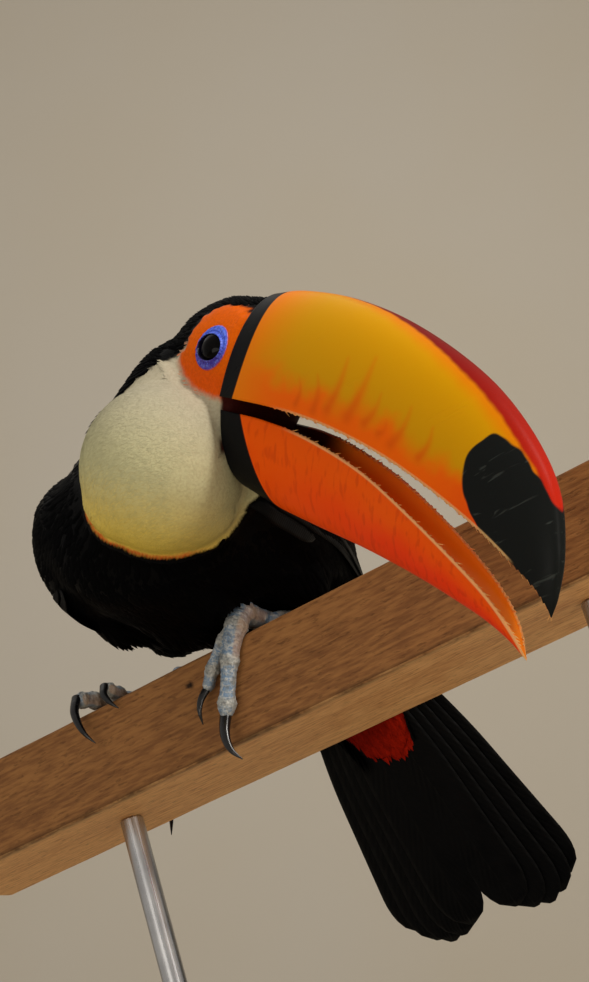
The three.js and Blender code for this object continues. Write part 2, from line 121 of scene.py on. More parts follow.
# Body forms in the perch frame: x, y, z, half-width, half-height
TRUNK_STATIONS = [
    [1, 78, 0, 14, 10],
    [0, 58, 18, 27, 19],
    [-2, 36, 33, 40, 25],
    [-4, 6, 44, 49, 37],
    [-3, -24, 48, 49, 38],
    [0, -46, 50, 42, 34],
    [4, -65, 50, 25, 22],
]
NECK_STATIONS = [
    [2, -28, 50, 29, 29],
    [14, -45, 63.5, 27.5, 26],
    [28, -45, 77.5, 25, 24],
    [40, -42, 86, 23.5, 23],
    [52, -42, 88, 20, 20],
]
THROAT_STATIONS = [
    [20, -56, 52, 25, 25],
    [38, -53, 48, 21, 20],
    [53, -50, 42, 15, 14],
]
# The bib: a large ball and two smaller ones that fill its lower corners, as centres and radii
BIB_BALLS = np.array([[24.0, -57.0, 54.5, 33.5], [27.4, -51.1, 43.9, 22.4], [10.8, -61.5, 49.5, 20.8]])
TAIL_COVERTS = [
    [2, 52, 18, 24, 16],
    [4, 74, -4, 23, 13],
    [6, 94, -36, 18, 8],
    [7, 99, -46, 9, 3.5],
]
THIGHS = {
    "left": [[21, 8, 30, 17, 17], [24, 24, 17.5, 15, 12], [21, 38, 13, 8, 6.5]],
    "right": [[-26, 12, 40, 20, 20], [-40, 31, 34, 20, 17], [-57, 47, 20.5, 12, 9.5]],
}

# The surface that a folded wing lies on, and along it the wing's bounds in degrees round the body and its
# thickness
WING_STATIONS = [
    [4, -60, 50, 38, 32],
    [-1, -38, 50, 49, 38],
    [-4, -8, 46, 52, 40],
    [-3, 24, 38, 48, 34],
    [-1, 54, 21, 35, 25],
    [1, 84, 0, 22, 15],
    [2, 112, -28, 15, 9],
]
WING_BANDS = [
    [4, 40, 4],
    [-28, 62, 10],
    [-34, 72, 12],
    [-34, 76, 11],
    [-16, 78, 8],
    [10, 80, 4.5],
    [38, 80, 2],
]

TAIL_ROOT, TAIL_END = np.array([8.0, 60.0, 12.0]), np.array([9.0, 146.0, -119.0])
TAIL_END_HALF, TAIL_BOW = 47.0, 6.0

# Shanks and toes before they are turned with the timber. Each toe: its middle line, its radii along that
# line, where its joints lie, and its claw's middle line
TARSI = {
    "left": [[18, 38, 8.6, 5, 4.4], [9, 31, 6.6, 4.2, 3.8], [5, 18, 8.2, 4.6, 4], [5.6, 5, 9.8, 5.2, 4.6]],
    "right": [[-59, 50, 16, 5, 4.4], [-64, 46, 8, 4.2, 3.8], [-70, 38, 6.2, 4.4, 4], [-77, 28, 5.6, 5, 4.4]],
}
TOES = {
    "left": [
        (
            [[8, 16, 5], [4, 27, 4.4], [1, 36, 4.2]],
            (3.8, 3.4, 3.0),
            (0.6,),
            [[1, 36, 4.4], [-1, 44, 5], [-2, 49, 0.5]],
        ),
        (
            [[4.6, 4, 8.4], [-0.8, -2.6, 0.3], [-8.9, -3.5, -7.6], [-15.2, -3.8, -16.4]],
            (3.3, 2.7, 2.3, 2.3),
            (0.36, 0.72),
            [[-15.2, -4.2, -15.6], [-17.5, -6.2, -19], [-18.8, -7.4, -23.5], [-19.7, -6.2, -28.8]],
        ),
        (
            [[6.2, 3, 9.6], [4.4, -2.2, 2], [0, -4, -7.5], [-5.2, -4.3, -19.6], [-9.4, -4.6, -30]],
            (4.7, 4.0, 3.2, 2.9, 3.3),
            (0.2, 0.53, 0.87),
            [[-9.4, -4.8, -29.4], [-9.9, -7.2, -34.8], [-9.2, -9, -40.2], [-7.4, -9.6, -45.1]]
            + [[-4.5, -8.6, -49.2]],
        ),
        (
            [[10, 14, 5.4], [17, 32, 4.6], [21, 53, 4.7], [22.4, 63, 2], [21.6, 65.2, -8]],
            (4.0, 3.6, 3.4, 3.2, 3.0),
            (0.3, 0.55, 0.8),
            [[21.6, 65, -9], [20.5, 69, -15], [20, 68, -21], [20, 66.4, -26]],
        ),
    ],
    "right": [
        (
            [[-75, 30, 5], [-70, 38, 4.4], [-67, 46, 4.2]],
            (3.8, 3.4, 3.0),
            (0.6,),
            [[-67, 46, 4.4], [-66, 53, 5], [-66, 58, 1]],
        ),
        (
            [[-75, 25, 5.2], [-69, 13, 5], [-66.3, 5, 5.2], [-65.5, -0.6, 6]],
            (3.4, 3.0, 2.6, 2.4),
            (0.4, 0.8),
            [[-65.6, -1, 6], [-64.6, -3.6, 2.6], [-62.1, -4.2, -1.9], [-59, -3.6, -5.7]],
        ),
        (
            [[-77, 28, 5.4], [-78, 14, 5.8], [-78.2, 5, 6.2], [-80.2, -1.6, 6.4]],
            (3.8, 3.4, 3.0, 2.8),
            (0.3, 0.58, 0.86),
            [[-80.2, -2, 6.4], [-79.8, -5.6, 0.9], [-78.1, -7.2, -5.6], [-75.9, -7.2, -10.9]]
            + [[-73, -6, -15.6]],
        ),
        (
            [[-79, 29, 5.2], [-87, 42, 4.6], [-94, 54, 4.8], [-98.5, 63.2, 2], [-100, 65.4, -14]],
            (4.0, 3.6, 3.4, 3.2, 3.0),
            (0.3, 0.55, 0.8),
            [[-100, 65.6, -15], [-100.5, 70, -26], [-100.6, 70, -35], [-100.8, 67, -43.6]],
        ),
    ],
}

SIDES = {"left": 1, "right": -1}
SEED = 11
# Which way the soft back of each foot looks, and the lengths of the scutes on shank and toes
SHANK_BACKS = {"left": np.array([0.05, 0.75, -0.65]), "right": np.array([0.0, 0.3, -0.95])}
SCUTE_PITCH = 2.9, 2.3
# Sizes of the nets on which the skin's and the feet's parts are joined
SKIN_NET, FOOT_NET = 1.0, 0.5
# How many points are compared at a time with all those of a line
BATCH = 4096
# The coat: how far a guide line is felt, how deep a tuft's root is sunk, how far tips keep from the toes'
# middle lines, and how far round the feet tufts are shortened
GUIDE_REACH, ROOT_DEPTH, TOE_ROOM, LEG_REACH = 14.0, 0.35, 6.0, 17.0


# ---------------------------------------------------------------- shapes as arrays


def size_of(vectors):
    """The vectors' lengths."""
    return np.linalg.norm(vectors, axis=-1)


def unit(vectors):
    """Vectors divided by their lengths."""
    return vectors / np.maximum(size_of(vectors), 1e-12)[..., None]


def smooth(value, low, high):
    """0 below low, 1 above high, and between them 3t^2 - 2t^3 of the share t of the way."""
    t = np.clip((np.asarray(value, float) - low) / (high - low), 0, 1)
    return t * t * (3 - 2 * t)


def through(table, place):
    """Values through the rows of a table at places from 0 to 1: on each stretch the cubic that meets both
    rows with slopes of half the difference between their neighbours."""
    rows = np.asarray(table, float)
    rows = np.vstack([2 * rows[0] - rows[1], rows, 2 * rows[-1] - rows[-2]])
    span = np.clip(place, 0, 1) * (len(table) - 1)
    left = np.minimum(span.astype(int), len(table) - 2)
    t = (span - left)[..., None]
    before, start, end, after = (rows[left + i] for i in range(4))
    slope_in, slope_out = (end - before) / 2, (after - start) / 2
    cubic = (2 * start - 2 * end + slope_in + slope_out) * t**3
    return cubic + (-3 * start + 3 * end - 2 * slope_in - slope_out) * t**2 + slope_in * t + start


def head_axes():
    """Rows forward, left and up of the head: the level heading tipped by the pitch, then rolled."""
    level = np.array([math.sin(HEAD_YAW), -math.cos(HEAD_YAW), 0])
    up = np.array([0, 0, 1.0])
    forward = level * math.cos(HEAD_PITCH) + up * math.sin(HEAD_PITCH)
    crown = -level * math.sin(HEAD_PITCH) + up * math.cos(HEAD_PITCH)
    right = np.cross(forward, crown)
    crown = crown * math.cos(HEAD_ROLL) + right * math.sin(HEAD_ROLL)
    return np.array([forward, np.cross(crown, forward), crown])


HEAD_AXES = head_axes()


def from_head(points):
    """Points of the head's own frame in the perch frame."""
    return GAPE_POINT + np.asarray(points, float) @ HEAD_AXES


def in_head(points):
    """Points of the perch frame in the head's own frame: forward, left, up."""
    return (np.asarray(points, float) - GAPE_POINT) @ HEAD_AXES.T


def on_perch(points, turn=PERCH_TURN):
    """Points turned about the upright axis, as far as the timber unless another turn is given."""
    cosine, sine = math.cos(turn), math.sin(turn)
    return np.asarray(points, float) @ np.array([[cosine, sine, 0], [-sine, cosine, 0], [0, 0, 1]])


def solid_box(name):
    """The lowest and the highest corner of a solid, in millimetres in the perch frame."""
    return [(np.array(corner) - PERCH_ORIGIN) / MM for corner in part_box(name)]


def grid_faces(rows, columns, wrap=True):
    """Quads of a grid of rows by columns points, closed round each row where wrap is set."""
    row, column = np.meshgrid(np.arange(rows - 1), np.arange(columns if wrap else columns - 1), indexing="ij")
    following = (column + 1) % columns
    corners = [row * columns + column, row * columns + following]
    corners += [(row + 1) * columns + following, (row + 1) * columns + column]
    return np.stack(corners, -1).reshape(-1, 4)


def outward(points, faces):
    """The faces, turned over if the volume that they enclose comes out negative."""
    total = 0
    for group in faces:
        first = points[group[:, 0]]
        for i in range(1, group.shape[1] - 1):
            total += np.einsum("ij,ij->", first, np.cross(points[group[:, i]], points[group[:, i + 1]]))
    return faces if total > 0 else [group[:, ::-1] for group in faces]


def capped(grid, start=None, end=None):
    """A tube of rings closed at each end by a fan to one point, the end ring's middle unless another is
    given, as points and faces that look outwards."""
    rings, sides = grid.shape[:2]
    start = grid[0].mean(0) if start is None else start
    end = grid[-1].mean(0) if end is None else end
    points = np.vstack([grid.reshape(-1, 3), start, end])
    around = np.arange(sides)
    following = (around + 1) % sides
    count = rings * sides
    first = np.stack([np.full(sides, count), following, around], 1)
    last = np.stack([np.full(sides, count + 1), count - sides + around, count - sides + following], 1)
    return points, outward(points, [grid_faces(rings, sides), np.vstack([first, last])])


def joined(parts):
    """Several shapes as one list of points and faces."""
    points, quads, triangles, count = [], [], [], 0
    for part, faces in parts:
        for group in faces:
            (quads if group.shape[1] == 4 else triangles).append(group + count)
        points.append(part)
        count += len(part)
    return np.vstack(points), [np.vstack(groups) for groups in (quads, triangles) if groups]


def across_spine(table, place, up):
    """Directions square to a table's middle line, which runs from a hundredth behind to one ahead."""
    ahead, behind = through(table, np.minimum(place + 0.01, 1)), through(table, np.maximum(place - 0.01, 0))
    along = unit((ahead - behind)[..., :3])
    side = unit(np.cross(along, up))
    return side, np.cross(side, along)


def limb(stations, rings, sides, first=0.2, last=0.2, up=(0, 0, 1)):
    """A closed limb: ellipses square to a smooth middle line, whose sizes fall to nothing as quarter
    ellipses over the first and last shares of it."""
    table = np.array([row if len(row) == 6 else [*row, row[4]] for row in stations], float)
    even = np.linspace(0, 1, rings + 2)
    place = even + 0.7 * ((1 - np.cos(np.pi * even)) / 2 - even)
    place = place[1:-1]
    values = through(table, place)
    side, rise = across_spine(table, place, up)
    opening, closing = np.clip(place / first, 0, 1), np.clip((1 - place) / last, 0, 1)
    size = np.sqrt(1 - (1 - opening) ** 2) * np.sqrt(1 - (1 - closing) ** 2)
    angle = np.arange(sides) / sides * 2 * np.pi
    tall = np.where(np.sin(angle) > 0, values[:, 4:5], values[:, 5:6])
    wide = values[:, 3:4] * size[:, None] * np.cos(angle)
    tall = tall * size[:, None] * np.sin(angle)
    grid = values[:, None, :3] + side[:, None] * wide[..., None] + rise[:, None] * tall[..., None]
    ends = through(table, np.array([0.0, 1.0]))[:, :3]
    return capped(grid, ends[0], ends[1])


def ball(centre, radius, rings=32, sides=48):
    """A sphere with its poles up and down."""
    turn = np.linspace(0, np.pi, rings + 2)[1:-1, None]
    angle = np.arange(sides) / sides * 2 * np.pi
    ring = np.sin(turn)
    grid = np.stack([ring * np.cos(angle), ring * np.sin(angle), np.cos(turn) + 0 * angle], -1)
    pole = np.array([0, 0, radius])
    return capped(centre + radius * grid, centre + pole, centre - pole)


def edges_of(faces):
    """Every edge of the faces once."""
    pairs = [np.stack([group, np.roll(group, -1, 1)], -1).reshape(-1, 2) for group in faces]
    return np.unique(np.sort(np.vstack(pairs), 1), axis=0)


def relaxed(values, edges, rounds):
    """Each point's value moved half-way to the mean of its neighbours', a number of times."""
    count = np.bincount(edges.ravel(), minlength=len(values))[:, None]
    for _ in range(rounds):
        total = [
            np.bincount(edges[:, 0], values[edges[:, 1], k], len(values))
            + np.bincount(edges[:, 1], values[edges[:, 0], k], len(values))
            for k in range(values.shape[1])
        ]
        values = (values + np.stack(total, 1) / np.maximum(count, 1)) / 2
    return values


def normals_of(points, faces):
    """Each point's normal: the sum of the cross products of its faces' diagonals or sides."""
    total = np.zeros_like(points)
    for group in faces:
        a, b, c, d = (points[group[:, k]] for k in ((0, 2, 1, 3) if group.shape[1] == 4 else (0, 1, 0, 2)))
        turn = np.cross(b - a, d - c)
        for k in range(3):
            weights = np.repeat(turn[:, k], group.shape[1])
            total[:, k] += np.bincount(group.ravel(), weights, len(points))
    return unit(total)


def mesh_object(name, points, faces, material, body="root"):
    """A smooth object with the shape, from millimetres in the perch frame, riding on its body."""
    mesh = bpy.data.meshes.new(name)
    mesh.vertices.add(len(points))
    mesh.vertices.foreach_set("co", (PERCH_ORIGIN + points * MM).astype(np.float32).ravel())
    corners = np.concatenate([group.ravel() for group in faces]).astype(np.int32)
    counts = np.concatenate([np.full(len(group), group.shape[1]) for group in faces])
    mesh.loops.add(len(corners))
    mesh.loops.foreach_set("vertex_index", corners)
    mesh.polygons.add(len(counts))
    mesh.polygons.foreach_set("loop_start", (np.cumsum(counts) - counts).astype(np.int32))
    mesh.update(calc_edges=True)
    mesh.polygons.foreach_set("use_smooth", np.ones(len(counts), bool))
    if mesh.validate():
        raise RuntimeError(f"{name} has faces that are not valid")
    made = bpy.data.objects.new(name, mesh)
    bpy.context.scene.collection.objects.link(made)
    made.data.materials.append(material)
    if body:
        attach(made, body)
    return made


def split_edges(made, degrees):
    """Keeps the edges that are sharper than an angle crisp in a smooth mesh."""
    split = made.modifiers.new("Crisp edges", "EDGE_SPLIT")
    split.split_angle = math.radians(degrees)


def paint(made, **layers):
    """Stores numbers of the points as attributes: three columns as a colour, one as a value."""
    for name, values in layers.items():
        values = np.asarray(values, np.float32)
        if values.ndim == 2:
            values = np.hstack([values, np.ones((len(values), 4 - values.shape[1]), np.float32)])
            made.data.attributes.new(name, "FLOAT_COLOR", "POINT").data.foreach_set("color", values.ravel())
        else:
            made.data.attributes.new(name, "FLOAT", "POINT").data.foreach_set("value", values)


def lay_uv(made, name, uv):
    """A UV map from one pair for each point."""
    corners = np.empty(len(made.data.loops), np.int32)
    made.data.loops.foreach_get("vertex_index", corners)
    made.data.uv_layers.new(name=name).data.foreach_set("uv", uv[corners].astype(np.float32).ravel())


# ---------------------------------------------------------------- node helpers
# Each adds its node to the tree of the socket that it is given

BLACK = (0.0, 0.0, 0.0)
SHADER_INPUTS = ("Base Color", "Roughness", "Normal")


def tint(red, green, blue):
    """A colour given as 0 to 255 display values, as linear light."""
    share = np.array([red, green, blue]) / 255
    linear = np.where(share < 0.04045, share / 12.92, ((share + 0.055) / 1.055) ** 2.4)
    return tuple(float(value) for value in linear)


def is_socket(value):
    """Whether a value comes from a node."""
    return isinstance(value, bpy.types.NodeSocket)


def node(tree, kind, inputs=None, **settings):
    """A shader node with its settings, and each input linked or given a value."""
    made = tree.nodes.new(kind if kind.startswith("Node") else "ShaderNode" + kind)
    for key, value in settings.items():
        setattr(made, key, value)
    for key, value in (inputs or {}).items():
        if is_socket(value):
            tree.links.new(value, made.inputs[key])
        else:
            made.inputs[key].default_value = value
    return made


def calc(operation, first, second=0.5):
    """The result of one Math node."""
    return node(first.id_data, "Math", {0: first, 1: second}, operation=operation).outputs[0]


def times(first, second):
    """One value multiplied by another."""
    return calc("MULTIPLY", first, second)


def plus(first, second):
    """One value with another added."""
    return calc("ADD", first, second)


def fade(value, low, high, start=0.0, end=1.0):
    """A value carried smoothly from start to end between two limits."""
    inputs = {"Value": value, "From Min": low, "From Max": high, "To Min": start, "To Max": end}
    return node(value.id_data, "MapRange", inputs, interpolation_type="SMOOTHSTEP").outputs[0]


def blend(share, first, second, mode="MIX"):
    """Two colours mixed by a share."""
    first, second = (colour if is_socket(colour) else (*colour[:3], 1) for colour in (first, second))
    inputs = {0: share, 6: first, 7: second}
    return node(share.id_data, "Mix", inputs, data_type="RGBA", blend_type=mode).outputs[2]


def layered(colour, *layers):
    """A colour with others laid over it in turn, each by its share."""
    for share, over in layers:
        colour = blend(share, colour, over)
    return colour


def attribute(tree, name, output="Fac"):
    """A stored attribute of the mesh."""
    return node(tree, "Attribute", attribute_name=name).outputs[output]


def noise(vector, scale, detail=2.0, roughness=0.5, stretch=None, distortion=0.0):
    """Fractal noise on a vector, stretched along its axes where stretch is given."""
    tree = vector.id_data
    if stretch:
        vector = node(tree, "Mapping", {"Vector": vector, "Scale": stretch}).outputs[0]
    inputs = {"Vector": vector, "Scale": scale, "Detail": detail, "Roughness": roughness}
    return node(tree, "TexNoise", {**inputs, "Distortion": distortion}).outputs["Fac"]


def bump(height, strength, distance=0.001):
    """A normal tilted by a height."""
    inputs = {"Height": height, "Strength": strength, "Distance": distance}
    return node(height.id_data, "Bump", inputs).outputs[0]


def object_place(tree):
    """Where the shaded point is, in metres in the part's frame."""
    return node(tree, "TexCoord").outputs["Object"]


def group(name, inputs, *outputs):
    """Makes a function of a node group's inputs, which gives its outputs, into one that gives the group,
    built once. Inputs are named with their kinds, and each output is a value."""

    def wrap(build):
        @functools.wraps(build)
        def ready():
            tree = bpy.data.node_groups.get(name)
            if tree:
                return tree
            tree = bpy.data.node_groups.new(name, "ShaderNodeTree")
            for label, kind in inputs.items():
                tree.interface.new_socket(name=label, in_out="INPUT", socket_type="NodeSocket" + kind)
            for label in outputs:
                tree.interface.new_socket(name=label, in_out="OUTPUT", socket_type="NodeSocketFloat")
            node(tree, "NodeGroupOutput", build(node(tree, "NodeGroupInput").outputs))
            return tree

        return ready

    return wrap


def use(shared, **inputs):
    """The outputs of a node group placed in the tree of its first input."""
    tree = next(iter(inputs.values())).id_data
    return node(tree, "Group", inputs, node_tree=shared()).outputs


def material(name, **constants):
    """Makes a function of a tree and settings, which gives a Principled shader's colour, roughness and
    normal, into one that gives the material, built once for each name. The shader's constants are given
    here."""

    def wrap(build):
        @functools.wraps(build)
        def ready(*settings):
            title = name.format(*settings)
            made = bpy.data.materials.get(title)
            if made:
                return made
            made = bpy.data.materials.new(title)
            made.use_nodes = True
            shader = made.node_tree.nodes["Principled BSDF"]
            for key, value in constants.items():
                shader.inputs[key.replace("_", " ")].default_value = value
            for key, value in zip(SHADER_INPUTS, build(made.node_tree, *settings)):
                if is_socket(value):
                    made.node_tree.links.new(value, shader.inputs[key])
                else:
                    shader.inputs[key].default_value = value
            return made

        return ready

    return wrap


# ---------------------------------------------------------------- bird's markings and the lie of its coat

# Line between the black cap and the pale cheek, on either side of the head: forward and up
CAP_LINE = np.array(
    [[6, 44], [-8, 38], [-23, 33], [-30, 27], [-31.5, 20], [-31, 14]]
    + [[-35, 7], [-37.5, 2], [-42, -2], [-44, -8], [-44.5, -40]],
    float,
)
FACE_CENTRE, FACE_HALF = np.array([-8.0, 17.5]), np.array([27.0, 18.0])


def line_offset(points, line):
    """Distance of flat points from the nearest stretch of a broken line, above zero on its left."""
    best = np.full(len(points), 1e9)
    sign = np.ones(len(points))
    for start, end in zip(line[:-1], line[1:]):
        along = end - start
        share = np.clip(((points - start) @ along) / (along @ along), 0, 1)
        away = points - start - share[:, None] * along
        far = size_of(away)
        turn = along[0] * (points[:, 1] - start[1]) - along[1] * (points[:, 0] - start[0])
        nearer = far < best - 1e-9
        best = np.where(nearer, far, best)
        sign = np.where(nearer, np.sign(turn), sign)
    return best * sign


def spheres_along(stations, count):
    """Balls that fill a limb: centres and radii at even places along it."""
    table = [[*row[:3], min(row[3], row[4])] for row in stations]
    return through(table, np.linspace(0, 1, count))


HEAD_BALLS = spheres_along(HEAD_STATIONS, 16) * [1, 1, 1, 1.25]
HEAD_BALLS[:, :3] = from_head(HEAD_BALLS[:, :3])
NECK_BALLS = [spheres_along(THROAT_STATIONS, 12), spheres_along(NECK_STATIONS, 14)]
PALE_BALLS = np.vstack([BIB_BALLS, *NECK_BALLS, HEAD_BALLS])


def ripple(points, size, seed):
    """Smooth wandering between -1 and 1: the mean of six sine waves in fixed skew directions."""
    rng = np.random.default_rng(SEED + seed)
    total = np.zeros(len(points))
    for _ in range(6):
        wave = unit(rng.normal(size=3)) * rng.uniform(0.7, 1.7) * 2 * np.pi / size
        total += np.sin(points @ wave + rng.uniform(0, 6.28))
    return total / 3.5


def pale_reach(points):
    """How far outside the throat, bib and cheeks a point is, in millimetres."""
    balls = PALE_BALLS[:, None]
    return (size_of(points[None] - balls[..., :3]) - balls[..., 3]).min(0)


def face_field(points):
    """Below 1 on the bare skin round the eye: an ellipse seen from the side of the head."""
    at = in_head(points)
    return size_of((at[:, [0, 2]] - FACE_CENTRE) / FACE_HALF)


def zones(points):
    """Shares at points of pale plumage, bare face, the bib's orange rim, red vent and white rump."""
    at = in_head(points)
    forward, up = at[:, 0], at[:, 2]
    behind = line_offset(at[:, [0, 2]], CAP_LINE) + 0.9 * ripple(points, 5, 1)
    reach = pale_reach(points) + 0.35 * ripple(points, 4, 2)
    pale = smooth(behind, -0.6, 0.6) * (1 - smooth(reach, 0.9, 1.7))
    rim = pale * smooth(reach, -0.9, 0.9) * smooth(forward, -8, -14) * smooth(up, -8, -26)
    field = face_field(points) + 0.02 * ripple(points, 3, 4)
    # the face also fills the strip between the cap and the bill's base band
    over = smooth(up, 13, 18) * smooth(forward, -36, -32) * (1 - smooth(forward + 0.5 * (36 - up), -4.5, -3))
    bare = np.maximum(1 - smooth(field, 0.94, 1.1), over)
    face = smooth(behind + 0.8 * over, 0.2, 1.2) * smooth(-reach, -2.4, -1.6) * bare
    x, y, z = points.T
    above = z - np.interp(y, [52, 74, 94, 106], [18, -4, -36, -58])
    wide = np.interp(y, [60, 82, 100], [30, 22, 8])
    vent = smooth(y, 50, 62) * smooth(-above, -1, 3) * smooth(wide - np.abs(x - 9), -2, 2)
    rump = smooth(y, 58, 66) * smooth(above, 3, 6) * (1 - smooth(y, 96, 102))
    return pale, face, rim, vent, rump * (1 - vent)


def over(colour, other, share):
    """Colours or places, led towards others by a share at each point."""
    return colour + (other - colour) * share[:, None]


def markings(points, colours):
    """The colour of skin and plumage at points: each zone's laid over black by its share."""
    pale, face, rim, vent, rump = zones(points)
    names = ("black", "cheek", "cream", "ochre", "bib_rim", "face", "face_low", "vent", "rump", "mouth")
    colour = {name: np.array(getattr(colours, name)) for name in names}
    fall = unit(np.array([-42.0, 5.0, -47.0]))
    down = ((points - [50, -61, 69]) @ fall) / 63
    at = in_head(points)
    cream = over(colour["cheek"], colour["cream"], smooth(down, -0.1, 0.55))
    cream = over(cream, colour["ochre"], smooth(down, 0.42, 0.98))
    made = over(colour["black"], over(cream, colour["bib_rim"], rim), pale)
    made = over(over(made, colour["vent"], vent), colour["rump"], rump)
    made = over(made, over(colour["face"], colour["face_low"], smooth(-at[:, 2], -14, -4)), face)
    beside = np.abs(at[:, 1]) - 6 * smooth(np.abs(at[:, 2] + 3), 6, 4)
    corner = 4.5 * smooth(np.abs(at[:, 2] + 2), 5, 3)
    gape = smooth(at[:, 0] + corner, 0.5, 2.5) * smooth(np.abs(at[:, 2] + 6), 16, 12)
    return over(made, colour["mouth"], gape * smooth(beside, 19.5, 17.5))


def guide_lines():
    """Lines that the coat follows from the bill back: crown and back, throat and belly, sides."""
    crown = from_head([[0, 0, 42], [-30, 0, 38], [-52, 0, 22]]).tolist()
    chin = from_head([[8, 0, -24]]).tolist()
    cheek = from_head([[0, -20, 6], [-22, -24, 4], [-40, -24, -4]]).tolist()
    far = from_head([[0, 20, 6], [-22, 24, 4], [-40, 20, 0]]).tolist()
    lines = [
        [*crown, [30, -32, 102], [8, -24, 88], [-3, -10, 84], [-4, 10, 80]]
        + [[-2, 36, 58], [0, 58, 37], [4, 78, 6], [8, 104, -50]],
        [*chin, [42, -66, 36], [24, -84, 36], [6, -82, 28], [-2, -60, 18], [-3, -24, 10]]
        + [[-4, 10, 7], [-1, 40, 8], [2, 66, -6], [8, 104, -62]],
        [*cheek, [18, -74, 72], [-6, -70, 58], [-30, -52, 50], [-50, -16, 46]]
        + [[-46, 26, 34], [-28, 58, 16], [-14, 82, -12]],
        [*far, [48, -22, 66], [50, -8, 52], [44, 26, 36], [28, 58, 16], [20, 82, -12]],
        [[52, -68, 50], [34, -86, 56], [14, -88, 52], [-8, -82, 44]]
        + [[-16, -66, 34], [-20, -30, 20], [-20, 10, 14]],
    ]
    places, ways = [], []
    for line in lines:
        place = np.linspace(0, 1, 40)
        at = through(line, place)
        places.append(at[1:])
        ways.append(unit(np.diff(at, axis=0)))
    return np.vstack(places), np.vstack(ways)


FLOW_PLACES, FLOW_WAYS = guide_lines()


def lie(points, normals, wander, rng):
    """Which way the coat lies at points: the guide lines' directions weighted by exp(-distance^2 / 2 /
    reach^2), laid in the surface, and turned at random by up to wander."""
    total = np.zeros_like(points)
    for start in range(0, len(points), BATCH):
        some = slice(start, start + BATCH)
        square = ((points[some, None] - FLOW_PLACES[None]) ** 2).sum(-1)
        weight = np.exp(-(square - square.min(1, keepdims=True)) / (2 * GUIDE_REACH**2))
        total[some] = weight @ FLOW_WAYS
    flat = unit(total - (total * normals).sum(1, keepdims=True) * normals)
    turn = rng.normal(0, wander, len(points))[:, None]
    return unit(flat * np.cos(turn) + np.cross(normals, flat) * np.sin(turn))


def spine_line():
    """The bird's middle line from the tail to the bill, as points."""
    line = [[8, 106, -58], [4, 74, -4], [0, 58, 18], [-2, 36, 33], [-4, 6, 44], [-3, -24, 48]]
    line += [[14, -45, 63.5], [30, -45, 78], *from_head([[-38, 0, 6], [-20, 0, 8], [6, 0, 8]])]
    return through(line, np.linspace(0, 1, 120))


SPINE = spine_line()


def unwrap(points):
    """The surface laid flat: across is the angle round the bird's middle line, up is how far along it the
    nearest of its points lies."""
    nearest = ((points[:, None] - SPINE[None]) ** 2).sum(-1).argmin(1)
    along = unit(np.gradient(SPINE, axis=0))[nearest]
    away = points - SPINE[nearest]
    side = unit(np.cross(along, [0, 0, 1.0]))
    rise = np.cross(side, along)
    angle = np.arctan2((away * side).sum(1), (away * rise).sum(1))
    return np.stack([0.5 + angle / (2 * np.pi) * 0.98, 0.01 + 0.98 * nearest / (len(SPINE) - 1)], 1)


# ---------------------------------------------------------------- skin


def wing_point(hand, place, part, height):
    """A point of the folded wing: place runs from its front to its tip, part from its lower to its upper
    bound, and height is how far it stands off the body."""
    place, part = np.broadcast_arrays(place, part)
    values = through(WING_STATIONS, place)
    _, rise = across_spine(WING_STATIONS, place, (0, 0, 1))
    band = through(WING_BANDS, place)
    narrow = np.sqrt(np.minimum(1, place * 5))
    low, high = band[..., 0], band[..., 1]
    angle = np.radians((low + high) / 2 + (part - 0.5) * (high - low) * narrow)
    out = (np.cos(angle) * (values[..., 3] + height))[..., None] * [hand, 0, 0]
    return values[..., :3] + out + rise * (np.sin(angle) * (values[..., 4] + height))[..., None]


def wing_core(hand):
    """The wing's own flesh and down as a closed plate, with its inner side sunk into the body."""
    place = np.linspace(0.03, 0.76, 60)[:, None]
    part = np.linspace(0, 1, 40)[None]
    thickness = through(WING_BANDS, place)[..., 2]
    swell = 0.2 + 0.8 * np.sin(np.pi * part) ** 0.6
    ease = np.sqrt(np.clip((0.76 - place) / 0.12, 0, 1))
    outer = wing_point(hand, place, part, thickness * swell * ease - 0.8)
    inner = wing_point(hand, place, part[:, ::-1], -7.0)
    grid = np.concatenate([outer, inner], 1)
    return capped(grid)


def coat_depth(points):
    """How deep the skin lies under the coat, in millimetres: 2.6 on the body, 1.1 on the head, and next to
    none where it is bare, but for the socket of the eye."""
    _, face, *_ = zones(points)
    at = in_head(points)
    head = smooth(at[:, 0], -60, -30) * smooth(pale_reach(points), 6, 2)
    depth = 2.6 - 1.5 * head
    eye = size_of(at * [1, 0, 1] - EYE_CENTRE * [1, 0, 1])
    bare = 0.25 + 1.4 * (1 - smooth(eye, 6.5, 9.0))
    return depth * (1 - face) + bare * face


